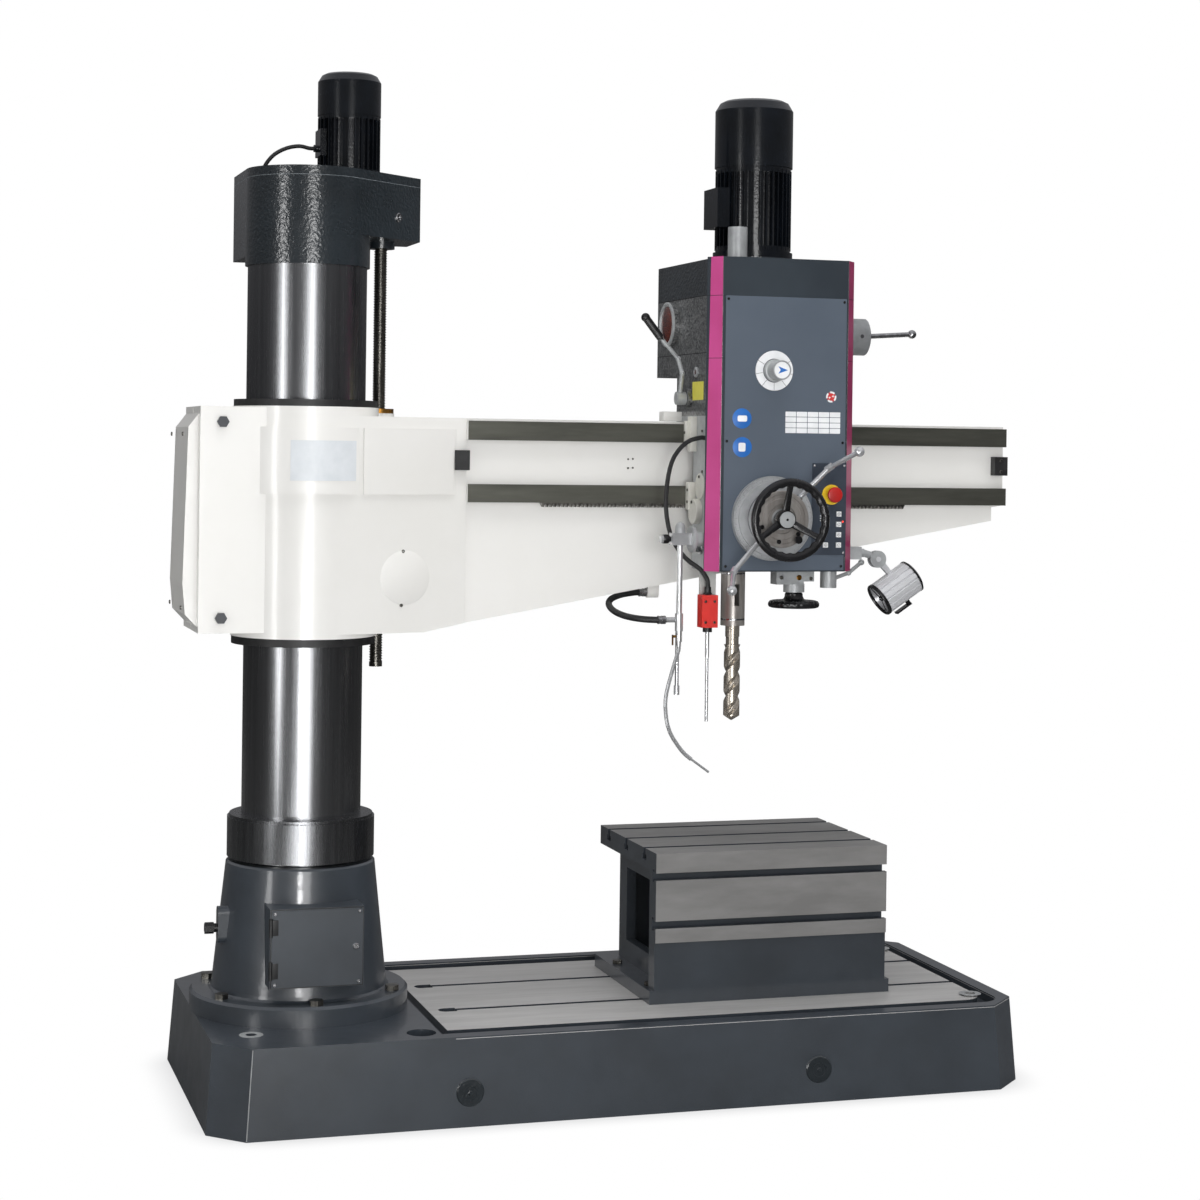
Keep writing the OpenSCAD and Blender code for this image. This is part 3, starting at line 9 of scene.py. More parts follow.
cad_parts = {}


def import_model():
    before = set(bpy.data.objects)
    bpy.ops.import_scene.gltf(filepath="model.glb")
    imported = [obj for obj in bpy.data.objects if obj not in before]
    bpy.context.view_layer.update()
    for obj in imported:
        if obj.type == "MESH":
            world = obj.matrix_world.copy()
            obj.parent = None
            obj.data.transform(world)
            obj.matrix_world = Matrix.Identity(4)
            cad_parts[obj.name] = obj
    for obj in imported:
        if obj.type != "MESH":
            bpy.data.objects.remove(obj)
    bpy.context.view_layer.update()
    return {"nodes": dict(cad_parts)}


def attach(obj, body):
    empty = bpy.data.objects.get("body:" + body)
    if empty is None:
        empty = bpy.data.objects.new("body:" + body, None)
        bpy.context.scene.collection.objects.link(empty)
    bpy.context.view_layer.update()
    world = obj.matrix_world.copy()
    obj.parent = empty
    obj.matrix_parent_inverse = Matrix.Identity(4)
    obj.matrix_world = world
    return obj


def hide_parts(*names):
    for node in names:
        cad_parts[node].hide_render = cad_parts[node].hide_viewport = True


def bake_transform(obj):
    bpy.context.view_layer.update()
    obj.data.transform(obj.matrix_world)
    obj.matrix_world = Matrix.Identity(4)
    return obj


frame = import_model()


# Places. A place is a 4 x 4 matrix, and a shape is drawn in its own frame.
STILL = Matrix.Identity(4)
PER_METRE = 1000


def at(x, y, z):
    """A place moved from the origin."""
    return Matrix.Translation((x, y, z))


def spin(degrees, axis="Z"):
    """A place turned about an axis."""
    return Matrix.Rotation(math.radians(degrees), 4, axis)


# Places that part.scad gives
HEAD_X, HEAD_Z = 1264, 1543
ARM_Z = 1343
PLATE_Y = -344.0
FACE_X = 1170.0
HEAD = at(HEAD_X, 0, HEAD_Z)
HUB = HEAD @ at(76, PLATE_Y, 159) @ spin(90, "X")
KNOB = HEAD @ at(79, PLATE_Y, 599) @ spin(90, "X")
ESTOP = HEAD @ at(267, -350, 231) @ spin(90, "X")
SPINDLE_X, SPINDLE_Y = HEAD_X, -230
SPINDLE = at(SPINDLE_X, SPINDLE_Y, 0)
LEVER_ANGLE = 46
SCREW_X, SCREW_Y = 250, 150
SCREW_LOW, SCREW_HIGH = 1232.0, 2602.0

# Fronts of the flat parts on the head, and other faces that carry screws
SHEET_Y = PLATE_Y - 1
DIAL_Y = PLATE_Y - 2.4
PANEL_Y = PLATE_Y - 3
BUTTON_Y = PLATE_Y - 8
TERMINAL_Y = -291
BASE_Y = -511
WAY_Y = -95
TOP_Z = 2709


def facing(x, y, z, direction):
    """A frame whose +Z points along direction and whose origin is a point."""
    return at(x, y, z) @ Vector(direction).to_track_quat("Z", "Y").to_matrix().to_4x4()


def front(x, z, y=PLATE_Y):
    """A frame on the front plane: local X to the right, Y up, +Z to the front."""
    return at(x, y, z) @ spin(90, "X")


def left(y, z, x=FACE_X):
    """A frame on a face that looks to -X: local X is world Y reversed, Y up, +Z to the left."""
    return at(x, y, z) @ Matrix(((0, 0, -1, 0), (-1, 0, 0, 0), (0, 1, 0, 0), (0, 0, 0, 1)))


def linked(name, data):
    """A new object in the scene."""
    obj = bpy.data.objects.new(name, data)
    bpy.context.scene.collection.objects.link(obj)
    return obj


# Camera, solved from the photograph: its turn in degrees, its place in metres
YAW, TILT, ROLL = 17.005, -0.403, 0.764
EYE = (-1.26818, -7.12258, 1.90694)
SENSOR, LENS, SHIFT_Y = 36, 72.97, -0.113
NEAR, FAR = 0.1, 200


def camera():
    yaw, tilt, roll = math.radians(YAW), math.radians(TILT), math.radians(ROLL)
    forward = Vector((math.sin(yaw) * math.cos(tilt), math.cos(yaw) * math.cos(tilt), math.sin(tilt)))
    right = Vector((math.cos(yaw), -math.sin(yaw), 0))
    up = right.cross(forward)
    cos, sin = math.cos(roll), math.sin(roll)
    right, up = right * cos + up * sin, up * cos - right * sin
    data = bpy.data.cameras.new("camera")
    data.sensor_width, data.lens, data.shift_y = SENSOR, LENS, SHIFT_Y
    data.clip_start, data.clip_end = NEAR, FAR
    cam = linked("camera", data)
    cam.matrix_world = at(*EYE) @ Matrix((right, up, -forward)).transposed().to_4x4()
    bpy.context.scene.camera = cam


camera()

# Materials
EVEN = (1, 1, 1)
NOISE_ROUGH = 0.55
SMOOTHEST = 0.02
# How much finer the roughness varies than the colour
FINER = 3.1


def linear(colour):
    """An sRGB colour of 0 to 255 as a linear one of 0 to 1."""
    def one(v):
        v /= 255
        return v / 12.92 if v <= 0.04045 else ((v + 0.055) / 1.055) ** 2.4

    return [one(v) for v in colour]


class Nodes:
    """The node tree of a material or of the world, with short ways to add to it."""

    def __init__(self, owner, output):
        owner.use_nodes = True
        self.owner = owner
        self.tree = owner.node_tree
        self.tree.nodes.clear()
        self.out = self.add(output)

    def add(self, kind, inputs=None, **settings):
        """A new node. inputs: for each socket a number, a colour or the output of another node."""
        node = self.tree.nodes.new(kind)
        for key, value in settings.items():
            setattr(node, key, value)
        for key, value in (inputs or {}).items():
            if isinstance(value, bpy.types.NodeSocket):
                self.tree.links.new(value, node.inputs[key])
            else:
                node.inputs[key].default_value = value
        return node

    def ramp(self, fac, low, high, start=0.35, end=0.65):
        node = self.add("ShaderNodeValToRGB", {"Fac": fac})
        for index, (place, colour) in enumerate(((start, low), (end, high))):
            node.color_ramp.elements[index].position = place
            node.color_ramp.elements[index].color = (*colour, 1)
        return node.outputs["Color"]

    def mix(self, a, b, fac):
        return self.add("ShaderNodeMixShader", {0: fac, 1: a, 2: b}).outputs[0]

    def done(self, shader):
        self.tree.links.new(shader, self.out.inputs["Surface"])
        return self.owner


class Look(Nodes):
    """A material with procedural detail in object coordinates."""

    def __init__(self, name):
        super().__init__(bpy.data.materials.new(name), "ShaderNodeOutputMaterial")
        self.coords = self.add("ShaderNodeTexCoord").outputs["Object"]

    def noise(self, scale, detail, stretch):
        mapping = self.add("ShaderNodeMapping", {"Scale": stretch, "Vector": self.coords})
        return self.add("ShaderNodeTexNoise", {
            "Scale": scale, "Detail": detail, "Roughness": NOISE_ROUGH, "Vector": mapping.outputs["Vector"],
        }).outputs["Fac"]

    def math(self, operation, a, b):
        return self.add("ShaderNodeMath", {0: a, 1: b}, operation=operation).outputs[0]

    def either(self, a, b):
        return self.math("MAXIMUM", a, b)

    def axis(self, name):
        return self.add("ShaderNodeSeparateXYZ", {0: self.coords}).outputs[name]

    def inside(self, **limits):
        """1 within limits in millimetres, such as z=(1543, 2477), and 0 outside."""
        whole = None
        for name, (low, high) in limits.items():
            place = self.axis(name.upper())
            for operation, limit in (("GREATER_THAN", low), ("LESS_THAN", high)):
                if limit is not None:
                    part = self.math(operation, place, limit / PER_METRE)
                    whole = part if whole is None else self.math("MULTIPLY", whole, part)
        return whole

    def disc(self, centre, radius, axes="XZ"):
        """1 within a radius of a line along the third axis, in millimetres."""
        total = None
        for name, value in zip(axes, centre):
            away = self.math("SUBTRACT", self.axis(name), value / PER_METRE)
            square = self.math("MULTIPLY", away, away)
            total = square if total is None else self.math("ADD", total, square)
        return self.math("LESS_THAN", total, (radius / PER_METRE) ** 2)

    def grain(self, low, high, rough, rough_spread=0.08, patch=5.0, patch_stretch=EVEN, metallic=0.0,
              coat=0.0, coat_rough=0.08, spec=0.5, bumps=()):
        """A principled shader whose colour, roughness and bump vary.

        low and high: sRGB colours. patch: the scale of the noise that mixes them.
        bumps: (scale, strength, distance in millimetres, stretch) of each layer.
        """
        spread = self.add("ShaderNodeMapRange", {
            "To Min": max(SMOOTHEST, rough - rough_spread), "To Max": min(1.0, rough + rough_spread),
            "Value": self.noise(patch * FINER, 4, patch_stretch),
        })
        inputs = {
            "Base Color": self.ramp(self.noise(patch, 5, patch_stretch), linear(low), linear(high)),
            "Roughness": spread.outputs["Result"], "Metallic": metallic, "Specular IOR Level": spec,
            "Coat Weight": coat, "Coat Roughness": coat_rough,
        }
        normal = {}
        for scale, strength, distance, stretch in bumps:
            height = self.noise(scale, 2, stretch)
            depth = distance / PER_METRE
            bump = {"Strength": strength, "Distance": depth, "Height": height, **normal}
            normal = {"Normal": self.add("ShaderNodeBump", bump).outputs["Normal"]}
        if normal and coat:
            inputs["Coat Normal"] = normal["Normal"]
        return self.add("ShaderNodeBsdfPrincipled", {**inputs, **normal}).outputs[0]


def surface(*values, **more):
    """A function that adds this grain to a look."""
    return lambda look: look.grain(*values, **more)


def material(name, base, *layers):
    """A material of surfaces over each other.

    layers: a surface and its mask, which is a dictionary of limits or a function of the look.
    """
    look = Look(name)
    shader = base(look)
    for over, mask in layers:
        fac = mask(look) if callable(mask) else look.inside(**mask)
        shader = look.mix(shader, over(look), fac)
    return look.done(shader)


HAMMER = (105, 0.8, 1.6, EVEN)
anthracite = surface((51, 56, 62), (58, 64, 71), 0.36, coat=0.6, coat_rough=0.1, patch=4,
                     bumps=[(30, 0.25, 1.5, EVEN), (210, 0.28, 0.5, EVEN)])
charcoal = surface((26, 32, 36), (34, 41, 46), 0.3, coat=1.0, bumps=[HAMMER])
hammered = surface((30, 34, 37), (112, 113, 113), 0.34, coat=0.7, coat_rough=0.12, patch=150, bumps=[HAMMER])
gloss_black = surface((9, 12, 16), (15, 19, 25), 0.22, 0.05, 8, coat=0.5, coat_rough=0.06, spec=0.3,
                      bumps=[(110, 0.35, 0.8, EVEN)])
cream = surface((230, 229, 225), (234, 233, 230), 0.3, 0.02, 2.5, coat=0.35, coat_rough=0.07,
                bumps=[(9, 0.07, 4, EVEN), (60, 0.05, 1, EVEN)])
cap_grey = surface((38, 46, 54), (44, 53, 61), 0.4, coat=0.2, coat_rough=0.2, patch=4,
                   bumps=[(160, 0.18, 0.4, EVEN)])
plate_grey = surface((76, 86, 99), (82, 92, 105), 0.42, 0.04, 3, bumps=[(300, 0.08, 0.2, EVEN)])
dark_way = surface((80, 80, 74), (102, 102, 94), 0.36, 0.07, 5, (0.5, 0.4, 4), metallic=0.7,
                   bumps=[(60, 0.1, 0.3, (1, 9, 9))])
column_steel = surface((132, 133, 135), (150, 151, 153), 0.26, 0.05, 9, (9, 9, 0.12), metallic=1.0,
                       bumps=[(40, 0.05, 0.3, (1, 1, 22)), (60, 0.02, 0.2, (3, 3, 0.05))])
chrome = surface((190, 191, 193), (208, 209, 211), 0.22, 0.05, 20, metallic=0.65,
                 bumps=[(150, 0.06, 0.2, EVEN)])
rubber = surface((20, 20, 21), (34, 34, 35), 0.5, patch=30, bumps=[(400, 0.25, 0.2, EVEN)])
seam_dark = surface((14, 15, 17), (24, 25, 27), 0.6, patch=20)
# A pale line on the lower edge of the housing's cover: worn paint and a painted highlight on the edge.
seam_highlight_and_wear = surface((84, 90, 94), (110, 116, 120), 0.4, patch=60)
amber = surface((58, 22, 14), (104, 44, 30), 0.1, coat=1.0, coat_rough=0.03, patch=22)
lamp_glass = surface((150, 156, 160), (196, 200, 204), 0.12, metallic=0.7, coat=1.0, coat_rough=0.03,
                     patch=60, bumps=[(60, 0.4, 2, EVEN)])
quill_steel = surface((136, 131, 127), (158, 154, 150), 0.34, patch=14, patch_stretch=(4, 4, 0.5),
                      metallic=0.5)
drill_steel = surface((162, 154, 143), (184, 176, 165), 0.28, patch=16, metallic=0.75)
aluminium = surface((200, 201, 204), (212, 213, 216), 0.3, 0.02, 8, metallic=0.3)


def ground_iron(stretch, tone):
    low, high = [[v + tone for v in colour] for colour in ((128, 127, 126), (142, 141, 140))]
    return surface(low, high, 0.42, 0.1, 6, stretch, metallic=0.2, bumps=[(60, 0.12, 0.3, stretch)])


def steel(low, high, rough, stretch=(6, 6, 0.6)):
    return surface(low, high, rough, 0.1, 14, stretch, metallic=1.0, bumps=[(120, 0.08, 0.2, stretch)])


def casting(low=(152, 154, 156), high=(174, 177, 178)):
    return surface(low, high, 0.42, 0.1, 18, metallic=0.3, bumps=[(260, 0.3, 0.35, EVEN)])


def plastic(low, high, rough):
    return surface(low, high, rough, 0.05, 20, bumps=[(500, 0.12, 0.1, EVEN)])


def magenta(low, high):
    return surface(low, high, 0.38, coat=0.25, coat_rough=0.2, bumps=[(160, 0.15, 0.4, EVEN)])


def glow(look):
    """The red light of the lamp on the panel."""
    return look.add("ShaderNodeEmission", {"Color": (1, 0.05, 0.03, 1), "Strength": 2.5}).outputs[0]


def lines(*heights, width=1.6):
    """A mask of thin level lines."""
    def mask(look):
        whole = None
        for z in heights:
            line = look.inside(z=(z - width / 2, z + width / 2))
            whole = line if whole is None else look.either(whole, line)
        return whole

    return mask


def table_paint(look):
    """The box table's foot, its ends and, behind its front, what is below its top."""
    foot = look.inside(z=(None, 428.8))
    ends = look.math("SUBTRACT", 1, look.inside(x=(1026.5, 1771.5)))
    return look.either(foot, look.either(ends, look.inside(z=(None, 696.6), y=(-248.7, None))))


def collar(look):
    """The yellow ring round the emergency stop."""
    return look.math("MULTIPLY", look.disc((1531, 1774), 31), look.inside(y=(None, -347.2)))


LEAN, EDGE_X, FOLD_X = 0.0075, 1.1335, 1178.6


def left_slope(look):
    """The cover's left fold. Its outer edge, in metres, leans to the right by LEAN of the height."""
    edge = look.math("SUBTRACT", look.axis("X"), look.math("MULTIPLY", look.axis("Z"), LEAN))
    return look.math("MULTIPLY", look.inside(x=(None, FOLD_X)), look.math("GREATER_THAN", edge, EDGE_X))


# For each look: the material's name, its surface and the layers over it
LOOKS = {
    "base": ("anthracite_and_ground_bed", anthracite,
             (ground_iron((0.6, 5, 5), 50), dict(z=(244.4, 246), x=(355, None)))),
    "anthracite": ("anthracite_paint", anthracite),
    "table": ("ground_and_painted_table", ground_iron((0.7, 3, 3), -5), (anthracite, table_paint)),
    "column": ("ground_column", column_steel),
    "ring": ("turned_ring", steel((112, 113, 115), (130, 131, 133), 0.27, (6, 6, 0.15))),
    "charcoal": ("charcoal_hammered_paint", charcoal),
    # The pale line at the cover's lower edge is worn paint and a painted highlight.
    "housing": ("hammered_housing_with_seam", charcoal, (seam_highlight_and_wear, lines(2682, width=1.8))),
    "gloss_black": ("gloss_black_paint", gloss_black),
    "arm": ("cream_paint_and_ways", cream,
            (dark_way, dict(x=(464.5, None), y=(None, -96), z=(1730, 1990)))),
    "cover_side": ("cream_grey_sheet", cream),
    "iron": ("dark_iron", steel((70, 70, 70), (100, 100, 98), 0.45)),
    "dark_steel": ("dark_steel", steel((84, 82, 78), (128, 126, 120), 0.34)),
    "bright_steel": ("bright_steel", steel((150, 150, 152), (196, 197, 199), 0.24)),
    "gear_steel": ("gear_steel", steel((120, 120, 122), (150, 150, 152), 0.35)),
    "bronze": ("bronze", steel((150, 104, 44), (196, 146, 74), 0.3)),
    "casting_grey": ("grey_casting", casting()),
    "satin": ("satin_aluminium", casting()),
    "graduated": ("graduated_ring", casting((166, 168, 170), (184, 186, 188))),
    "chrome": ("chrome", chrome),
    "quill": ("quill_steel", quill_steel),
    "drill": ("drill_steel", drill_steel),
    "shade": ("ribbed_aluminium", aluminium),
    "rubber": ("rubber", rubber),
    "black_plastic": ("black_plastic", plastic((16, 16, 17), (27, 27, 29), 0.26)),
    "black_oxide": ("black_oxide", plastic((34, 37, 42), (46, 50, 57), 0.4)),
    "red_plastic": ("red_plastic", plastic((164, 18, 16), (180, 24, 20), 0.35)),
    "white_plastic": ("white_plastic", plastic((222, 223, 224), (236, 237, 238), 0.4)),
    "white_print": ("white_print", plastic((226, 228, 230), (240, 241, 243), 0.5)),
    "blue_print": ("blue_print", plastic((24, 96, 176), (32, 108, 190), 0.4)),
    "red_print": ("red_print", plastic((196, 40, 40), (214, 56, 52), 0.45)),
    "dark_print": ("dark_print", plastic((44, 46, 50), (58, 60, 64), 0.5)),
    "yellow_print": ("yellow_print", plastic((214, 206, 74), (228, 220, 92), 0.5)),
    "silver_print": ("silver_print", plastic((212, 217, 221), (220, 224, 228), 0.42)),
    "tag": ("tag_metal", plastic((205, 204, 196), (218, 217, 209), 0.4)),
    "plate": ("blue_grey_plate", plate_grey),
    "panel": ("panel_and_collar", plastic((44, 52, 64), (52, 60, 72), 0.38),
              (plastic((226, 190, 36), (240, 206, 52), 0.34), collar)),
    "cover": ("folded_cover", cap_grey,
              (magenta((186, 56, 126), (197, 66, 138)), left_slope),
              # The right fold, which faces away from the lights, is a darker magenta: painted shade on the
              # same paint as the left fold.
              (magenta((136, 30, 78), (150, 38, 88)), dict(x=(1580.4, None))),
              (seam_dark, lines(2362, 2176))),
    "head": ("hammered_head", hammered,
             (charcoal, dict(z=(2368, None))),
             # Lighter grey on the lower part of the left face, as high as the white arm: a painted
             # reflection of the arm in the dark paint.
             (casting((164, 166, 168), (186, 189, 190)), dict(z=(1544, 2006), x=(None, 1171.5))),
             (casting((116, 118, 120), (140, 143, 145)), dict(x=(1589.5, None))),
             (seam_dark, lines(2368, 2196, width=2.2))),
    "lever_left": ("steel_lever_black_grip", casting(),
                   (plastic((16, 16, 17), (30, 30, 31), 0.4), dict(z=(2236, None), x=(None, 1075)))),
    "switch": ("switch_and_bracket", plastic((20, 20, 21), (30, 30, 31), 0.4),
               (plastic((206, 32, 24), (220, 42, 32), 0.38), dict(z=(1374.1, 1471.1))),
               (plastic((186, 187, 184), (198, 199, 196), 0.45), dict(y=(-256.2, None)))),
    "glass": ("amber_window", amber),
    "lens": ("lamp_glass", lamp_glass),
    "led": ("led", glow),
}
MAT = {key: material(*values) for key, values in LOOKS.items()}

NODE_LOOK = {
    "base": "base_casting",
    "anthracite": "pedestal terminal_cover",
    "table": "worktable",
    "dark_steel": "base_bolts arm_rack lift_screw",
    "black_oxide": "clamp_bolts",
    "iron": "inner_column",
    "gear_steel": "column_bearings lift_gear lift_rotor spindle_gear spindle_rotor",
    "column": "outer_column",
    "ring": "column_ring",
    "housing": "top_housing top_cover",
    "gloss_black": "lift_motor spindle_motor motor_cowl",
    "rubber": "lift_cable column_wipers switch_cable coolant_hose end_stops",
    "arm": "arm_casting",
    "cover_side": "side_cover",
    "bronze": "lift_nut coolant_valve",
    "head": "head_casting",
    "cover": "front_cover",
    "panel": "control_panel",
    "bright_steel": "gear_lever_right",
    "graduated": "feed_hub",
    "quill": "quill spindle",
    "drill": "drill_bit",
    "satin": "spindle_guard",
    "casting_grey": "fine_feed_housing feed_clutch_lever lamp_mount lamp_arm lamp_head speed_knob",
    "red_plastic": "estop",
    "switch": "limit_switch",
    "chrome": "coolant_pipe coolant_nozzle trip_rod feed_levers",
    "black_plastic": "main_switch handwheel fine_feed_wheel",
    "lever_left": "gear_lever_left",
    "white_plastic": "button_1 button_2 button_3 button_4 button_5",
}
for look_name, nodes in NODE_LOOK.items():
    for node in nodes.split():
        data = frame["nodes"][node].data
        data.materials.clear()
        data.materials.append(MAT[look_name])


# Pieces. MERGE is in metres, AXIS_R in millimetres.
MERGE, AXIS_R = 1e-7, 1e-6


def piece(name, body, look, bm, place=STILL, angle=32, replaces=None):
    """A mesh drawn in millimetres in the frame of place becomes a piece, which rides on body if given.

    angle: edges that bend more, in degrees, are sharp. replaces: the CAD node that the piece stands for.
    """
    bm.transform(Matrix.Scale(1 / PER_METRE, 4) @ place)
    bmesh.ops.remove_doubles(bm, verts=bm.verts, dist=MERGE)
    bmesh.ops.recalc_face_normals(bm, faces=bm.faces)
    for face in bm.faces:
        face.smooth = True
    for edge in bm.edges:
        edge.smooth = len(edge.link_faces) == 2 and edge.calc_face_angle(0) < math.radians(angle)
    data = bpy.data.meshes.new(name)
    bm.to_mesh(data)
    bm.free()
    data.materials.append(MAT[look])
    obj = linked(name, data)
    if body:
        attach(obj, body)
    if replaces:
        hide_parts(replaces)
    return obj


def ring(bm, points, place=STILL):
    """Adds points and gives their vertices."""
    return [bm.verts.new(place @ Vector(point)) for point in points]


def skin(bm, rings, closed=False):
    """Faces between rings of points. closed: the last ring joins the first, or else the ends are filled."""
    for low, high in zip(rings, rings[1:] + rings[:closed]):
        count = max(len(low), len(high))
        for k in range(count):
            n = (k + 1) % count
            corners = (low[k % len(low)], low[n % len(low)], high[n % len(high)], high[k % len(high)])
            unique = list(dict.fromkeys(corners))
            if len(unique) > 2:
                bm.faces.new(unique)
    if not closed:
        for end in (rings[0], rings[-1]):
            if len(end) > 2:
                bm.faces.new(end)
    return bm


def turned(bm, profile, segments, place=STILL, wave=None, closed=False):
    """Adds a solid of revolution about Z.

    profile: (radius, height) points. wave(angle, index) adds to the radius. closed: the profile runs round
    and leaves a hole.
    """
    rings = []
    for index, (radius, height) in enumerate(profile):
        count = segments if radius > AXIS_R else 1
        points = []
        for k in range(count):
            a = 2 * math.pi * k / count
            r = radius + (wave(a, index) if wave else 0)
            points.append((r * math.cos(a), r * math.sin(a), height))
        rings.append(ring(bm, points, place))
    return skin(bm, rings, closed)


def ringed(bm, profile, segments, place=STILL, wave=None):
    """As turned, for a closed profile round a hole."""
    return turned(bm, profile, segments, place, wave, closed=True)


def prism(bm, outline, z0, z1, place=STILL, chamfer=0.0):
    """Adds an extruded outline, with a chamfer on its upper edge."""
    levels = [(outline, z0), (outline, z1 - chamfer)]
    if chamfer:
        cx = sum(p[0] for p in outline) / len(outline)
        cy = sum(p[1] for p in outline) / len(outline)
        shrunk = []
        for x, y in outline:
            d = math.hypot(x - cx, y - cy) or 1
            shrunk.append((x - (x - cx) / d * chamfer, y - (y - cy) / d * chamfer))
        levels.append((shrunk, z1))
    return skin(bm, [ring(bm, [(x, y, z) for x, y in points], place) for points, z in levels])


def box(bm, low, high, place=STILL, bevel=0.0):
    """Adds a box between two corners, with rounded edges where bevel is given."""
    made = bmesh.ops.create_cube(bm, size=1)["verts"]
    low, high = Vector(low), Vector(high)
    for v in made:
        v.co = place @ Vector(((low[i] + high[i]) / 2 + v.co[i] * (high[i] - low[i])) for i in range(3))
    if bevel:
        edges = list(dict.fromkeys(e for v in made for e in v.link_edges))
        bmesh.ops.bevel(bm, geom=edges, offset=bevel, segments=2, profile=0.6, affect="EDGES")


def circle(radius, count, x=0.0, y=0.0):
    """Points round a centre."""
    angles = [2 * math.pi * k / count for k in range(count)]
    return [(x + radius * math.cos(a), y + radius * math.sin(a)) for a in angles]


def rounded(x0, y0, x1, y1, r, count=6):
    """A rectangle with round corners."""
    points = []
    corners = ((x1 - r, y1 - r, 0), (x0 + r, y1 - r, 90), (x0 + r, y0 + r, 180), (x1 - r, y0 + r, 270))
    for cx, cy, start in corners:
        for k in range(count + 1):
            a = math.radians(start + 90 * k / count)
            points.append((cx + r * math.cos(a), cy + r * math.sin(a)))
    return points


def tube(bm, points, radius, sides):
    """Adds a round tube along points, with flat ends."""
    points = [Vector(p) for p in points]
    side = None
    rings = []
    for i, p in enumerate(points):
        t = (points[min(i + 1, len(points) - 1)] - points[max(i - 1, 0)]).normalized()
        if side is None:
            side = t.orthogonal().normalized()
        side = (side - t * side.dot(t)).normalized()
        other = t.cross(side)
        rings.append(ring(bm, [p + side * x + other * y for x, y in circle(radius, sides)]))
    return skin(bm, rings)


def smooth_path(points, n):
    """A smooth curve through points, with n steps between two of them."""
    points = [Vector(p) for p in points]
    out = []
    for i in range(len(points) - 1):
        a, b, c, d = points[max(i - 1, 0)], points[i], points[i + 1], points[min(i + 2, len(points) - 1)]
        for k in range(n):
            t = k / n
            out.append(0.5 * (2 * b + (c - a) * t + (2 * a - 5 * b + 4 * c - d) * t * t
                              + (3 * b - a - 3 * c + d) * t ** 3))
    return out + [points[-1]]


def lathed(name, body, look, profile, segments, *places, slot=None, closed=False, wave=None, replaces=None):
    """A piece of the same solid of revolution at each of the places."""
    bm = bmesh.new()
    for place in places:
        turned(bm, profile, segments, place, wave, closed)
    return piece(name, body, look, bm, replaces=replaces)


def button_head(radius, height):
    """The profile of a round screw head with a socket."""
    return [(radius, 0), (radius, height * 0.35), (radius * 0.86, height * 0.75), (radius * 0.6, height),
            (radius * 0.48, height), (radius * 0.42, height * 0.35), (0, height * 0.3)]


def socket_head(radius, wall, rim, top, mouth, foot, bottom=1, back=0):
    """The profile of a chamfered screw head. mouth and foot: the socket's radii at its top and bottom."""
    return [(radius, back), (radius, wall), (rim, top), (mouth, top), (foot, bottom), (0, bottom)]


def holed_plate(name, body, look, outline, holes, thick, place):
    """A flat plate with round holes, drawn as a filled curve."""
    curve = bpy.data.curves.new(name, "CURVE")
    curve.dimensions = "2D"
    curve.fill_mode = "BOTH"
    curve.extrude = thick / 2
    for points in [outline, *holes]:
        spline = curve.splines.new("POLY")
        spline.points.add(len(points) - 1)
        for point, (x, y) in zip(spline.points, points):
            point.co = (x, y, 0, 1)
        spline.use_cyclic_u = True
    temp = linked(name + "_curve", curve)
    bpy.context.view_layer.update()
    data = bpy.data.meshes.new_from_object(temp.evaluated_get(bpy.context.evaluated_depsgraph_get()))
    bm = bmesh.new()
    bm.from_mesh(data)
    bpy.data.objects.remove(temp)
    bpy.data.curves.remove(curve)
    bpy.data.meshes.remove(data)
    bmesh.ops.translate(bm, verts=bm.verts, vec=(0, 0, thick / 2))
    return piece(name, body, look, bm, place)


# Front of the head
holed_plate("front_plate", "head", "plate", rounded(0, 0, 386, 815, 3),
            [circle(121, 96, 152, 155), circle(35.5, 48, 155, 595)], 1.0, front(1188, 1547))
# Thin bright steel strips on the bends of the cover's two folds: painted highlights along the bends.
bm = bmesh.new()
for x in (1178.8, 1579.2):
    box(bm, (x - 0.9, PLATE_Y - 0.8, 1544), (x + 0.9, PLATE_Y + 0.1, 2476), bevel=0.3)
piece("cover_fold_highlights", "head", "bright_steel", bm)
PLATE_SCREWS = ((1196, 2352), (1566, 2352), (1196, 1930), (1566, 1930), (1197, 1559), (1566, 1559))
lathed("front_screws", "head", "black_plastic", button_head(4.2, 2.2), 18,
       *[front(x, z, SHEET_Y) for x, z in PLATE_SCREWS])
lathed("panel_screws", "head", "chrome", button_head(3.6, 2.0), 18,
       *[front(x, z, PANEL_Y) for z in (1861, 1600) for x in (1476, 1572)])

# Speed dial
DIAL_X, DIAL_Z = 1343, 2142
holed_plate("speed_dial", "head", "white_print", circle(60, 96), [circle(35.6, 64)], 1.4,
            front(DIAL_X, DIAL_Z, SHEET_Y))
DIAL = front(DIAL_X, DIAL_Z, DIAL_Y)
bm = bmesh.new()
for k in range(7):
    box(bm, (37, -0.5, -0.1), (59, 0.5, 0.25), DIAL @ spin(150 + 40 * k))
ringed(bm, [(59.6, -0.1), (60.2, -0.1), (60.2, 0.3), (59.6, 0.3)], 96, DIAL)
piece("speed_dial_lines", "head", "dark_print", bm)
FLUTES, FLUTE_HALF = 36, 0.55


def knob_flutes(a, index):
    """Flutes on the skirt and on the top edge of the grip."""
    return -FLUTE_HALF * (1 + math.cos(FLUTES * a)) if index in (3, 4, 8) else 0


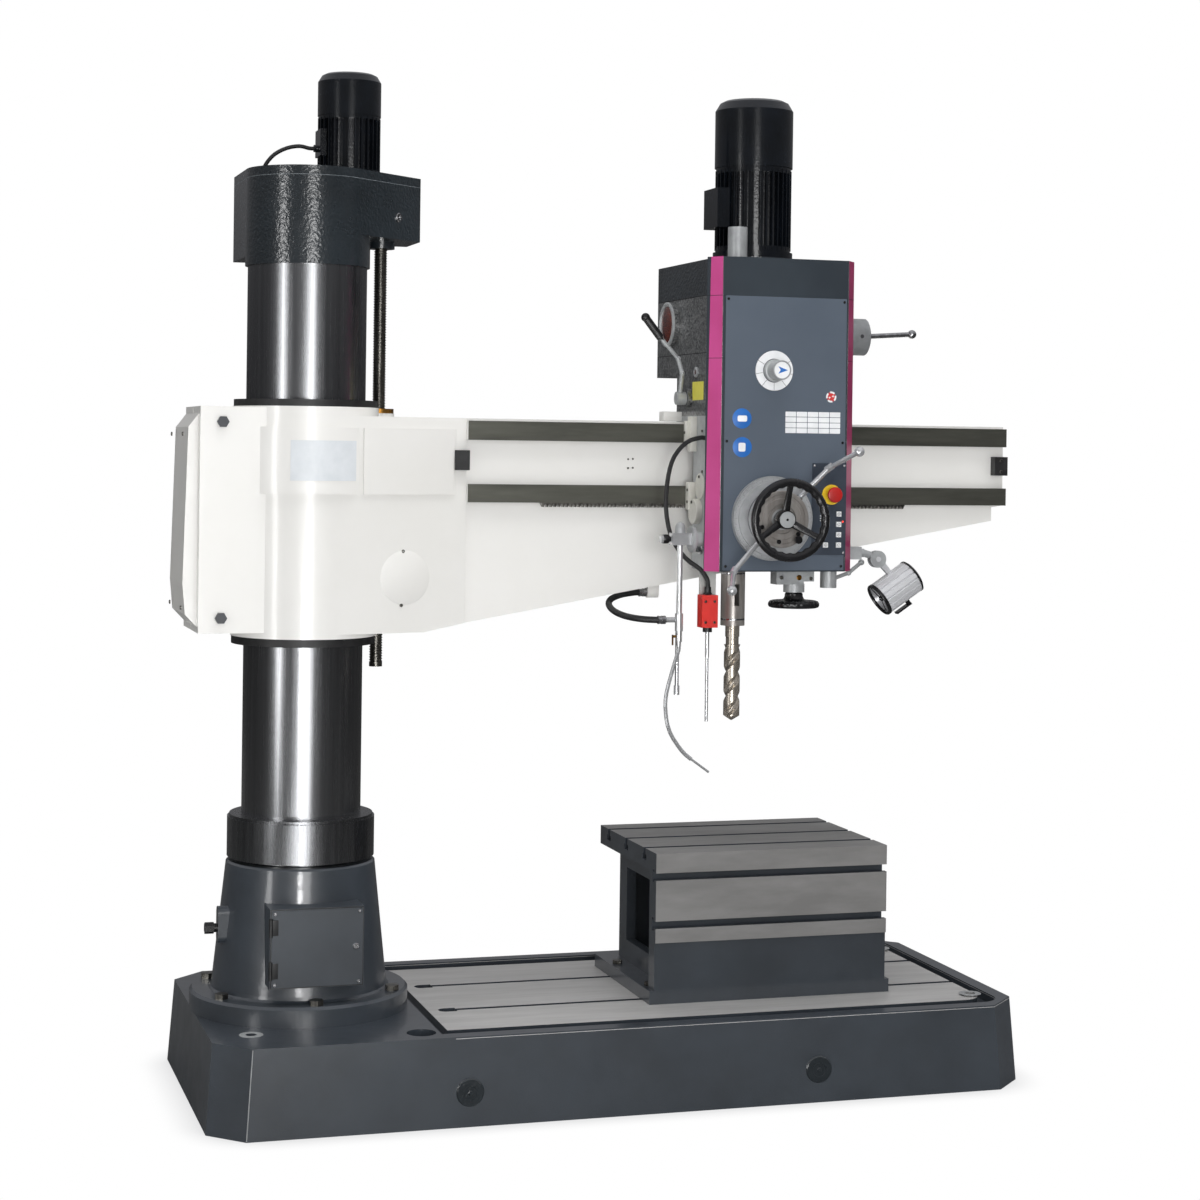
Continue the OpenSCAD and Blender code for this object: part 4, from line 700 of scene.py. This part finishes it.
lathed("speed_knob_body", "speed_knob", "casting_grey",
       [(6, -25), (6, 1.6), (33.8, 1.6), (34, 3), (34, 16), (33, 18.5), (29.5, 19.5), (28.2, 21), (28.2, 60),
        (29, 62), (29, 66), (27.5, 68), (25.2, 68), (24.8, 66.2), (0, 66.2)],
       144, KNOB, wave=knob_flutes, replaces="speed_knob")
bm = prism(bmesh.new(), [(18, 0), (-12, 11), (-4.5, 0), (-12, -11)], 66.3, 66.9, KNOB)
piece("speed_knob_pointer", "speed_knob", "blue_print", bm)
lathed("speed_knob_face", "speed_knob", "white_print", [(24.4, 66.0), (24.4, 66.45), (0, 66.45)], 64, KNOB,
       slot="grey_casting")

# Blue discs, a table of cells and the direction disc
lathed("blue_discs", "head", "blue_print", [(30, 0), (30, 0.5), (29.4, 0.8), (0, 0.8)], 64,
       front(1243, 1998, SHEET_Y), front(1245, 1913, SHEET_Y))
bm = bmesh.new()
for z, width, height in ((1998, 15, 9), (1913, 11, 13)):
    prism(bm, rounded(-width, -height, width, height, 5), 0.7, 0.95, front(1244, z, SHEET_Y))
COLUMNS, ROWS, CELL_W, CELL_H = 5, 4, 33.6, 14.8
TABLE_X, TABLE_Z, STEP_X, STEP_Z = 1381, 1957, 35.6, 16.4
for i in range(COLUMNS):
    for j in range(ROWS):
        x, z = TABLE_X + i * STEP_X, TABLE_Z + j * STEP_Z
        prism(bm, rounded(x, z, x + CELL_W, z + CELL_H, 0.8, 2), 0, 0.6, front(0, 0, SHEET_Y))
piece("white_prints", "head", "white_print", bm)
DISC = front(1527, 2067, SHEET_Y)
bm = turned(bmesh.new(), [(11, 0), (11, 0.6), (0, 0.6)], 48, DISC)
for k in range(4):
    prism(bm, [(11, -2.2), (14.5, -2.6), (14.5, 2.6), (11, 2.2)], 0, 0.6, DISC @ spin(30 + 90 * k))
piece("direction_disc", "head", "red_print", bm)
ARC_OUT, ARC_IN, ARC_SWEEP, ARC_STEPS = 16.6, 11.4, 62, 10
bm = bmesh.new()
for k in range(4):
    start = math.radians(44 + 90 * k)
    arc = [start + math.radians(ARC_SWEEP) * n / ARC_STEPS for n in range(ARC_STEPS + 1)]
    outline = [(ARC_OUT * math.cos(a), ARC_OUT * math.sin(a)) for a in arc]
    outline += [(ARC_IN * math.cos(a), ARC_IN * math.sin(a)) for a in reversed(arc)]
    prism(bm, outline, 0, 0.6, DISC)
for a in (20, 200):
    prism(bm, [(1.5, 0), (8, -3.4), (8, 3.4)], 0.6, 0.9, DISC @ spin(a))
piece("direction_marks", "head", "white_print", bm)

# Buttons and lamp of the control panel. BUTTONS: places from the head's own
BUTTONS = [(291, 173), (291, 142), (291, 111), (291, 80), (249, 80)]
for i, (x, z) in enumerate(BUTTONS):
    cap = front(HEAD_X + x, HEAD_Z + z, BUTTON_Y)
    bm = ringed(bmesh.new(), [(4.1, -0.1), (5.0, -0.1), (5.0, 0.25), (4.1, 0.25)], 24, cap)
    if i % 2:
        box(bm, (-0.5, -2.6, -0.1), (0.5, 2.6, 0.25), cap)
    else:
        turned(bm, [(1.6, -0.1), (1.6, 0.25), (0, 0.25)], 16, cap)
    piece(f"button_mark_{i + 1}", f"button_{i + 1}", "dark_print", bm)
lathed("panel_led", "head", "led", [(2.6, 0), (2.4, 1.4), (1.4, 2.2), (0, 2.4)], 20,
       front(1569, 1693, PANEL_Y), slot="red_plastic")
lathed("panel_dots", "head", "white_print", [(1.5, 0), (1.5, 0.6), (0, 0.6)], 14,
       *[front(1497, z, PANEL_Y) for z in (1696, 1703, 1710)])
lathed("estop_head", "estop", "red_plastic",
       [(9, -26), (9, 7), (15, 7.6), (15.5, 11), (17, 13), (22.2, 22), (23.5, 25.5), (23.5, 28), (22, 30.5),
        (18, 31.8), (0, 32)],
       72, ESTOP, replaces="estop")

# Feed hub
DIVISIONS, MARK_END = 200, 124.5
bm = bmesh.new()
for k in range(DIVISIONS):
    length = 11 if k % 10 == 0 else 8 if k % 5 == 0 else 5
    turn = HUB @ Matrix.Rotation(2 * math.pi * k / DIVISIONS, 4, "Z")
    box(bm, (MARK_END - length, -0.28, 17.9), (MARK_END, 0.28, 18.2), turn)
ringed(bm, [(125.6, 17.2), (126.0, 17.2), (126.0, 18.15), (125.6, 18.15)], 120, HUB)
piece("feed_ring_marks", "feed_hub", "dark_print", bm)
lathed("feed_drum_face", "feed_hub", "quill",
       [(84.6, 84.5), (84.8, 88.5), (82, 90.5), (74, 90.5), (72, 88.5), (62, 88.5), (60, 91), (44, 91),
        (42, 87.5), (31.5, 87.5), (31.5, 84.5)],
       96, HUB, slot="grey_casting", closed=True)
bm = ringed(bmesh.new(), [(85.2, 30), (86.2, 32), (86.2, 37), (85.2, 39)], 96, HUB)
for a in (LEVER_ANGLE, LEVER_ANGLE + 180):
    boss = HUB @ spin(a) @ facing(83.5, 0, 70.2, (1, 0, 0.14))
    turned(bm, [(14, 0), (13, 4), (10, 7), (8.6, 9)], 32, boss)
piece("feed_hub_bosses", "feed_hub", "bright_steel", bm)
bm = bmesh.new()
for a in (200, 262, 320):
    turned(bm, socket_head(6.5, 5, 5.5, 6.5, 3.4, 3.2, 3), 24, HUB @ spin(a) @ at(67, 0, 88.4))
turned(bm, [(5, 0), (5, 6), (11, 8), (12, 18), (10, 22), (0, 22)], 32, HUB @ spin(-52) @ at(76, 0, 90))
piece("feed_hub_screws", "feed_hub", "black_plastic", bm)

# Handwheel: a rim with finger waves, three spokes and a cap. RIM_R, RIM_Z: the middle of the rim's section
RIM_SIDES, RIM_R, RIM_Z, RIM_HALF = 14, 110.5, 158, 12
RIM_STEPS, WAVES, WAVE_DEPTH = 216, 24, 3.2
RIM_ANGLES = [2 * math.pi * j / RIM_SIDES for j in range(RIM_SIDES)]


def finger_waves(a, index):
    """Waves on the inner side of the rim."""
    inner = max(0.0, -math.cos(RIM_ANGLES[index]))
    return -inner * WAVE_DEPTH * (0.5 + 0.5 * math.cos(WAVES * a))


rim = [(RIM_R + RIM_HALF * math.cos(b), RIM_Z + RIM_HALF * math.sin(b)) for b in RIM_ANGLES]
bm = ringed(bmesh.new(), rim, RIM_STEPS, HUB, finger_waves)
turned(bm, [(10, -25), (10, 90), (25, 92), (27.5, 96), (27.8, 131), (26.5, 134), (22, 134.6)], 64, HUB)
# A spoke's sections: radius, height, half width, half thickness
SPOKE = ((16, 121, 12, 6), (30, 123, 12, 7.5), (58, 135, 10.5, 7), (84, 147, 9.5, 6.5), (104, 157, 10, 7))
SPOKE_ANGLES = [math.radians(15 + 30 * n) for n in range(12)]
for a in (90, 210, 330):
    rings = []
    for r, out, wide, thick in SPOKE:
        points = [(r, wide * math.cos(b), out + thick * math.sin(b)) for b in SPOKE_ANGLES]
        rings.append(ring(bm, points, HUB @ spin(a)))
    skin(bm, rings)
piece("handwheel_rim", "handwheel", "black_plastic", bm, replaces="handwheel")
lathed("handwheel_cap", "handwheel", "casting_grey",
       [(24, 134), (24, 134.9), (23, 135), (4, 135), (3.6, 134.2), (0, 134.2)], 64, HUB)

# Left side of the head: windows, label, wipers of the ways, tags, screws and plug
WINDOW, SIGHT = left(99, 2293, 1156), left(-141, 2139)
bm = ringed(bmesh.new(), [(70, -0.1), (70, 5), (67, 7), (61, 7), (58, 4), (57, -0.1)], 96, WINDOW)
turned(bm, [(16, 0), (16, 4), (13, 6), (10, 6), (9.5, 3)], 40, SIGHT)
piece("window_rings", "head", "satin", bm)
bm = turned(bmesh.new(), [(58, 0), (57, 2), (40, 4.2), (20, 5.2), (0, 5.5)], 72, WINDOW)
turned(bm, [(10, 1), (8, 3.6), (4, 4.4), (0, 4.6)], 32, SIGHT)
piece("window_glass", "head", "glass", bm)
bm = prism(bmesh.new(), rounded(-50, -28, 50, 28, 3, 3), 0, 0.8, left(-156, 2082))
piece("side_plate_blank", "head", "yellow_print", bm)
bm = bmesh.new()
box(bm, (1138, -136, 1920), (1150.5, -120.7, 1991), bevel=1.5)
box(bm, (1150, -152, 1898), (1169.9, -120.7, 2004), bevel=1.5)
box(bm, (1146, -150, 1721), (1169.9, -120.7, 1805), bevel=2)
piece("way_wipers", "head", "tag", bm)
bm = bmesh.new()
box(bm, (1112, -10, 1990.5), (1169.8, 40, 2020), bevel=2)
piece("top_wiper", "head", "arm", bm)
bm = turned(bmesh.new(), [(40, 0), (40, 2.5), (38.5, 3.5), (0, 3.5)], 56, left(-189, 1793))
turned(bm, [(38, 0), (38, 18), (36.5, 19.5), (0, 19.5)], 56, left(-171, 1717))
piece("side_tags", "head", "tag", bm)
bm = bmesh.new()
for y, z, x in ((-132, 1955, 1138), (-140, 1781, 1146), (-140, 1745, 1146)):
    turned(bm, [(4.5, 0), (4.5, 2), (3, 3), (0, 2.6)], 18, left(y, z, x))
for y, z, x in ((-189, 1822, 1166.5), (-168, 1745, 1150.5), (-202, 1960, 1170), (-207, 1838, 1170)):
    turned(bm, socket_head(4.5, 2.6, 3.4, 3.6, 2.2, 2), 18, left(y, z, x))
piece("side_screws", "head", "dark_steel", bm)
PLUG = left(-203, 1613)
bm = turned(bmesh.new(), [(25, 0), (25, 6), (22, 8)], 40, PLUG)
prism(bm, circle(20, 6), 6, 20, PLUG, 2)
turned(bm, [(9, 20), (9, 30), (7, 32), (0, 32)], 24, PLUG)
turned(bm, [(6, 0), (6, 4), (4, 5.5), (0, 5.5)], 20, left(-285, 2440))
piece("side_plug", "head", "bright_steel", bm)

# Coolant bracket
BRACKET = left(-270, 1637)
bm = turned(bmesh.new(), [(22, 0), (22, 44), (38, 48), (40, 51), (40, 57), (38, 58.5), (0, 58.5)], 56,
            BRACKET)
turned(bm, [(15, 1655), (15, 1671), (13.5, 1678), (9.5, 1684.5), (4, 1688), (0, 1688.6)], 40,
       at(1080, -270, 0))
piece("coolant_flange", "head", "satin", bm)
lathed("coolant_knob", "head", "black_plastic",
       [(6, 118), (9, 123), (13.4, 128), (14, 136), (13.4, 144), (9.5, 150), (0, 152)], 40, BRACKET)

# Coolant hose, which bends between the arm and the head, and its fittings
HOSE = [(1040, -262, 1396), (1016, -262, 1396), (970, -246, 1398), (934, -200, 1404), (914, -150, 1416),
        (912, -105, 1432), (930, -68, 1446), (970, -38, 1457), (1020, -21, 1463), (1040, -20, 1463),
        (1058, -20, 1463)]
bm = tube(bmesh.new(), smooth_path(HOSE, 8), 9.8, 24)
hose = piece("hose", None, "rubber", bm, angle=40, replaces="coolant_hose")
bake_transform(hose)
FERRULE = [(10.2, 0), (12.5, 1), (12.5, 14), (11.5, 15), (11.5, 19), (12.5, 20), (12.5, 24), (9, 25), (9, 0)]
for body, (x, y, z) in (("head", HOSE[0]), ("arm", HOSE[-1])):
    lathed("hose_fitting_" + body, body, "bright_steel", FERRULE, 32, facing(x, y, z, (-1, 0, 0)),
           closed=True)

# Right side of the head
BOSS_X, BOSS_Y, BOSS_Z = 1673, -240, 2254
bm = prism(bmesh.new(), circle(13, 6), 0, 9, facing(BOSS_X + 2, BOSS_Y, BOSS_Z, (1, 0, 0)), 1)
turned(bm, [(55.5, 0), (55, 2), (50, 5), (22, 5), (20, 2)], 64, facing(BOSS_X, BOSS_Y, BOSS_Z, (1, 0, 0)))
piece("right_boss_cap", "head", "satin", bm)

# Arm. The wall beside the sleeve faces along WEB. WEB_Y: its place at x = 0
WEB = (0.2454, -0.9694, 0)
WEB_Y, WEB_RISE = -220.6, 0.2535


def web_y(x):
    """Where this wall is at x."""
    return WEB_Y + WEB_RISE * x


bm = prism(bmesh.new(), [(137, -184), (137, -193.5), (420, -121.8), (431, -112), (431, -104)], 1761, 1954)
piece("arm_step", "arm", "arm", bm)
lathed("arm_round_cover", "arm", "arm", [(79, -2), (79, 1.2), (77.5, 2), (0, 2)], 72,
       facing(271, -151.9, 1518, WEB))
bm = bmesh.new()
for x, z in ((264, 1595), (260, 1437)):
    turned(bm, socket_head(5, 2.6, 3.5, 3.6, 2.4, 2.2, back=-2), 20, facing(x, web_y(x), z, WEB))
for x, z in ((970, 1872), (970, 1845), (985, 1873), (985, 1846)):
    turned(bm, [(3.2, 0), (3, 1.2), (0, 1.6)], 16, front(x, z, WAY_Y))
for x, y in ((447, -108), (2201, -124)):
    for z in (1846, 1881):
        turned(bm, socket_head(6, 3, 4.6, 4, 3.4, 3.2), 20, front(x, z, y))
piece("arm_screws", "arm", "dark_steel", bm)
# The plate on the round sleeve, 1 mm thick: the sleeve's radius, and the plate's first angle and sweep
SLEEVE_R, PLATE_START, PLATE_SWEEP, PLATE_STEPS = 226, -110.8, 50.8, 24
bm = bmesh.new()
rings = []
for k in range(PLATE_STEPS + 1):
    a = math.radians(PLATE_START + PLATE_SWEEP * k / PLATE_STEPS)
    rings.append(ring(bm, [((SLEEVE_R + d) * math.cos(a), (SLEEVE_R + d) * math.sin(a), z)
                           for d, z in ((0.1, 457), (1.1, 457), (1.1, 573), (0.1, 573))], at(0, 0, ARM_Z)))
piece("arm_plate_blank", "arm", "silver_print", skin(bm, rings))
lathed("side_cover_screws", "arm", "dark_steel", socket_head(6, 3, 4.6, 4.2, 3, 2.8), 20,
       *[left(y, z, -373) for y in (-112, 142) for z in (1432, 1930)])

# Column foot and base
bm = bmesh.new()
for x, z in ((-121, 574), (121, 574), (-121, 373), (121, 373)):
    turned(bm, socket_head(5, 2, 3.8, 3.2, 2.6, 2.4), 18, front(x, z, TERMINAL_Y))
turned(bm, socket_head(9, 3, 7.5, 4.5, 3, 3, 3), 28, front(112, 474, TERMINAL_Y))
piece("terminal_screws", "base", "bright_steel", bm)
bm = bmesh.new()
for z in (535, 412):
    turned(bm, [(5.5, -26), (5.5, 26)], 18, at(-133, TERMINAL_Y, z))
    box(bm, (-133, -293, z - 22), (-112, -290.9, z + 22), bevel=0.6)
# Dark rubber strips in the gap round the terminal cover: painted shade of the gap.
GAP_SHADE_STRIPS = ((-133.6, 133.6, 583.2, 585.8), (-133.6, 133.6, 361.4, 363.8), (-133.6, -131.2, 363, 584),
          (131.2, 133.6, 363, 584))
for x0, x1, z0, z1 in GAP_SHADE_STRIPS:
    box(bm, (x0, -288.8, z0), (x1, -287.8, z1), bevel=0.3)
piece("terminal_hinges_and_gap_shade", "base", "rubber", bm)
bm = bmesh.new()
for x in (395, 1445):
    turned(bm, [(40, -2), (40, 12), (37, 15), (20, 15), (19, 13.5), (0, 13.5)], 64, front(x, 95, BASE_Y))
    turned(bm, [(7, 12), (7, 16), (5.5, 17), (0, 17)], 6, front(x + 1, 95, BASE_Y))
piece("base_plugs", "base", "charcoal", bm)
lathed("spot_faces", "base", "satin", [(16, 250), (34, 250), (33.6, 250.4), (16, 250.4)], 56,
       *[at(x, y, 0) for x in (-194, 2012) for y in (-345, 345)], slot="iron", closed=True)
# A thin satin rod down the base's front-left edge: worn paint and a painted highlight on the edge.
bm = tube(bmesh.new(), [(-215, -511.4, 247), (-232, -528.3, 3)], 1.6, 8)
piece("worn_edge_highlight", "base", "satin", bm)

# Top housing
lathed("top_cover_screws", "column", "dark_steel", socket_head(8, 6, 6, 8, 4, 3.6, 3), 24,
       at(-150, 60, TOP_Z), at(150, 150, TOP_Z), at(300, 150, TOP_Z))
lathed("housing_plug", "column", "bright_steel", socket_head(14, 3, 12, 5, 7.5, 7, back=-1), 40,
       facing(269, -8.6, 2583, (0.656, -0.755, 0)))

# Lift screw with its thread. TOOTH: share of the pitch, radius
PITCH, STEPS = 8, 20
ROOT, CREST, END_R, END_LENGTH = 17.4, 19.95, 19.9, 14
TOOTH = ((0.0, ROOT), (0.18, ROOT), (0.36, CREST), (0.64, CREST), (0.82, ROOT))
bm = bmesh.new()
before = None
for k in range(int((SCREW_HIGH - SCREW_LOW) / PITCH * STEPS) + 1):
    a = 2 * math.pi * k / STEPS
    middle = SCREW_LOW + PITCH * k / STEPS
    row = []
    for share, r in TOOTH:
        z = min(max(middle - PITCH / 2 + share * PITCH, SCREW_LOW), SCREW_HIGH)
        row.append(bm.verts.new((SCREW_X + r * math.cos(a), SCREW_Y + r * math.sin(a), z)))
    if before:
        for j in range(len(TOOTH) - 1):
            bm.faces.new((before[j], row[j], row[j + 1], before[j + 1]))
    before = row
for r, low, high in ((17.5, SCREW_LOW, SCREW_HIGH), (END_R, SCREW_LOW, SCREW_LOW + END_LENGTH),
                     (END_R, SCREW_HIGH - END_LENGTH, SCREW_HIGH)):
    turned(bm, [(r, low), (r, high)], 40, at(SCREW_X, SCREW_Y, 0))
piece("lift_screw_thread", "screw", "dark_steel", bm, angle=60, replaces="lift_screw")

# Twist drill. FLUTE_WIDTH: the cosine where a flute begins
DRILL_R, DRILL_TOP, DRILL_LOW, DRILL_TIP = 24.5, 1318, 1104, 1090
TURNS, FLUTE_DEPTH, FLUTE_WIDTH, DRILL_STEPS, DRILL_SIDES = 1.45, 11, 0.78, 96, 48
bm = turned(bmesh.new(), [(21.5, 1342), (21.5, 1376)], DRILL_SIDES, SPINDLE)
turned(bm, [(19.5, 1300), (19.5, 1342)], DRILL_SIDES, SPINDLE)
rings = []
for k in range(DRILL_STEPS + 1):
    share = k / DRILL_STEPS
    z = DRILL_TOP - share * (DRILL_TOP - DRILL_LOW)
    fade = min(1.0, share * 8)
    turn = -2 * math.pi * share * TURNS
    points = []
    for j in range(DRILL_SIDES):
        a = 2 * math.pi * j / DRILL_SIDES
        flute = max(0.0, (abs(math.cos(a)) - FLUTE_WIDTH) / (1 - FLUTE_WIDTH)) ** 0.7
        r = DRILL_R - fade * FLUTE_DEPTH * flute
        points.append((r * math.cos(a + turn), r * math.sin(a + turn), z))
    rings.append(ring(bm, points, SPINDLE))
tip = []
for v in rings[-1]:
    dx, dy = v.co.x - SPINDLE_X, v.co.y - SPINDLE_Y
    tip.append((SPINDLE_X + dx * 0.08, SPINDLE_Y + dy * 0.08, DRILL_TIP))
skin(bm, [*rings, ring(bm, tip)])
piece("twist_drill", "spindle", "drill", bm, replaces="drill_bit")
lathed("spindle_rings", "spindle", "bright_steel", [(36.4, 0), (36.6, 1), (36.6, 5), (36.4, 6)], 64,
       *[SPINDLE @ at(0, 0, z) for z in (1392, 1530)], closed=True)

# Fine feed
lathed("fine_feed_plug", "head", "bronze", [(8, 0), (8, 3), (6, 4.5), (0, 4.5)], 28, front(1455, 1522, -286))
bm = turned(bmesh.new(), socket_head(5.5, 3, 4, 4, 2.6, 2.4), 20, front(1500, 1518, -269))
turned(bm, socket_head(6, 3, 4.6, 4.4, 3, 2.8), 20, front(1398, 1522, -286))
piece("fine_feed_screws", "head", "dark_steel", bm)
BELL_WAVES, BELL_DEPTH = 24, 1.6


def wheel_waves(a, index):
    """Waves round the bell's widest part."""
    return -BELL_DEPTH * (1 - math.cos(BELL_WAVES * a)) / 2 if 9 <= index <= 12 else 0


lathed("fine_wheel_bell", "fine_wheel", "black_plastic",
       [(9.5, 1490), (9.5, 1476), (24, 1475.5), (27, 1472), (27.5, 1464), (31, 1457), (42, 1452), (58, 1450),
        (66, 1452), (73, 1450), (77.6, 1444), (78, 1438), (75.5, 1432.5), (69, 1430), (62, 1432), (56, 1436),
        (30, 1437), (26, 1434), (10, 1434), (9.5, 1436), (0, 1436)],
       144, at(1449, -260, 0), wave=wheel_waves, replaces="fine_feed_wheel")

# Limit switch
lathed("limit_switch_screws", "head", "dark_steel", [(4, 0), (4, 2), (3, 3), (0, 3)], 16,
       *[front(x, z, -300) for z in (1390, 1452) for x in (1153, 1181)])
SWITCH = at(1167, -278, 0)
bm = bmesh.new()
for k in range(4):
    z = 1361 + 3.2 * k
    ringed(bm, [(13.2, z), (13.95, z + 1), (13.2, z + 2)], 40, SWITCH)
turned(bm, [(14, 1472), (14, 1476), (11, 1478)], 6, SWITCH)
turned(bm, [(9.9, 1488), (9.9, 1495)], 24, SWITCH)
piece("limit_switch_boot", "head", "rubber", bm)

# Lamp
KNUCKLE = HEAD @ at(449, -276, 34)
LAMP = KNUCKLE @ at(64, 0, -88) @ spin(-124, "Y")
FACETS, SHADE_R, GROOVE_DEPTH, GROOVE_ANGLE = 16, 52.8, 4.5, 0.07


def facets(a, index):
    """Flat facets with a groove between them on the shade's wall."""
    if not 2 <= index <= 3:
        return 0
    half = math.pi / FACETS
    off = a % (2 * half) - half
    groove = GROOVE_DEPTH * max(0.0, 1 - (half - abs(off)) / GROOVE_ANGLE)
    return SHADE_R * (math.cos(half) / math.cos(off) - 1) - groove


bm = turned(bmesh.new(), [(30, -69), (47, -69), (SHADE_R, -65), (SHADE_R, 60), (50, 61), (49, 58), (40, 30),
                          (22, 8), (0, 6)], 288, LAMP, facets)
turned(bm, [(18, -6), (18, 6)], 48, KNUCKLE @ spin(-90, "X"))
turned(bm, [(8, -14), (8, 14)], 32, KNUCKLE @ spin(-90, "X"))
prism(bm, [(-7, -6), (4, -16), (38, -50), (50, -42), (16, 0)], -7, 7, KNUCKLE @ spin(90, "X"))
piece("lamp_shade", "lamp_head", "shade", bm, replaces="lamp_head")
bm = ringed(bmesh.new(), [(49, 60), (53.4, 60), (53.4, 67), (51.5, 69.5), (47, 69.5), (46, 66), (47.5, 62)],
            96, LAMP)
ringed(bm, [(30, -70), (46, -70), (53.2, -65.5), (53.2, -60), (52.5, -60), (46.5, -66), (30, -66)], 96, LAMP)
turned(bm, [(30.5, -69.6), (30.5, -68), (0, -68)], 48, LAMP)
for k in range(3):
    box(bm, (8, -1.2, 58), (47, 1.2, 60), LAMP @ spin(120 * k + 40))
ringed(bm, [(7, 57), (9, 57), (9, 60.5), (7, 60.5)], 32, LAMP)
box(bm, (-68, -11, -14), (-63, 11, 40), LAMP, 1.5)
box(bm, (-65, -8, -14), (-48, 8, -5), LAMP, 1.5)
piece("lamp_bezels", "lamp_head", "black_plastic", bm)
lathed("lamp_bulb", "lamp_head", "lens", [(0, 14), (7, 16), (10, 24), (9, 38), (5, 45), (0, 46)], 32, LAMP,
       slot="white_plastic")

# Bolts of the spindle motor's flange, on a circle round its axis
MOTOR_X, MOTOR_Y, MOTOR_FOOT, BOLT_R = 1357, -109.8, 2490, 113
bm = bmesh.new()
for k in range(4):
    a = math.radians(45 + 90 * k)
    bolt = at(MOTOR_X + BOLT_R * math.cos(a), MOTOR_Y + BOLT_R * math.sin(a), MOTOR_FOOT)
    prism(bm, circle(8, 6), 0, 8, bolt, 1)
piece("motor_bolts", "head", "dark_steel", bm)


# Stage, in metres
def world():
    """White to the camera, dim to rough surfaces, and brighter upwards to glossy ones."""
    made = bpy.data.worlds.new("world")
    bpy.context.scene.world = made
    nodes = Nodes(made, "ShaderNodeOutputWorld")
    rays = nodes.add("ShaderNodeLightPath").outputs
    coords = nodes.add("ShaderNodeTexCoord").outputs["Generated"]
    height = nodes.add("ShaderNodeSeparateXYZ", {0: coords}).outputs["Z"]
    sky = nodes.ramp(height, (0.035, 0.035, 0.038), (0.6, 0.6, 0.62), 0.0, 0.75)

    def back(strength, colour=(1, 1, 1, 1)):
        return nodes.add("ShaderNodeBackground", {"Strength": strength, "Color": colour}).outputs[0]

    seen = nodes.mix(back(0.4), back(1.0, sky), rays["Is Glossy Ray"])
    nodes.done(nodes.mix(seen, back(1.0), rays["Is Camera Ray"]))


def floor():
    """White to the camera with a soft contact shadow, and darker in reflections."""
    data = bpy.data.meshes.new("floor")
    data.from_pydata([(-40, -40, 0), (40, -40, 0), (40, 40, 0), (-40, 40, 0)], [], [(0, 1, 2, 3)])
    look = Look("floor")
    rays = look.add("ShaderNodeLightPath").outputs
    dark = look.math("MULTIPLY", rays["Is Glossy Ray"], 0.68)
    soft = look.add("ShaderNodeBsdfDiffuse", {"Color": look.math("SUBTRACT", 0.8, dark)})
    shade = look.add("ShaderNodeAmbientOcclusion", {"Distance": 0.12})
    tone = look.ramp(shade.outputs["AO"], (0.55, 0.55, 0.56), (1, 1, 1), 0.1, 0.95)
    white = look.add("ShaderNodeEmission", {"Color": tone, "Strength": 1.0})
    flat = look.math("MAXIMUM", rays["Is Camera Ray"], rays["Is Transmission Ray"])
    data.materials.append(look.done(look.mix(soft.outputs[0], white.outputs[0], flat)))
    linked("floor", data)


def area(name, place, width, height, power, glossy=True, diffuse=True):
    """A rectangular light that shines along -Z of its place."""
    data = bpy.data.lights.new(name, "AREA")
    data.shape = "RECTANGLE"
    data.size, data.size_y = width, height
    data.energy = power
    obj = linked(name, data)
    obj.matrix_world = place
    obj.visible_camera = False
    obj.visible_glossy = glossy
    obj.visible_diffuse = diffuse


def softbox(name, azimuth, distance, z, width, height, power, aim=(0, 0, 1.6), **more):
    """A light at an azimuth and distance from the column, turned to a point."""
    a = math.radians(azimuth)
    place = Vector((distance * math.cos(a), distance * math.sin(a), z))
    area(name, facing(*place, place - Vector(aim)), width, height, power, **more)


world()
floor()
softbox("left_strip", -146, 8, 1.8, 1.2, 3.6, 115, diffuse=False)
softbox("left_fill", -160, 8, 2.0, 2.0, 3.0, 62, glossy=False)
softbox("pedestal_light", -100, 8, 0.62, 0.9, 0.6, 95, aim=(0, 0, 0.62), diffuse=False)
softbox("front_strip", -91, 8.6, 1.8, 1.8, 3.6, 138)
softbox("low_strip", -94, 5.6, 0.03, 1.3, 7.2, 210, aim=(-0.39, -5.59, 6), diffuse=False)
softbox("front_fill", -76, 9, 2.6, 4.0, 3.0, 142, aim=(1.5, 0, 1.6), glossy=False)
softbox("right_light", -28, 8, 2.4, 1.4, 4.6, 22, glossy=False)
softbox("back_light", 110, 8, 3.0, 3.0, 4.0, 120, glossy=False)
area("top", at(0.8, -1.2, 6.2), 4.5, 3.0, 180, glossy=False)
bpy.context.scene.view_settings.view_transform = "Standard"
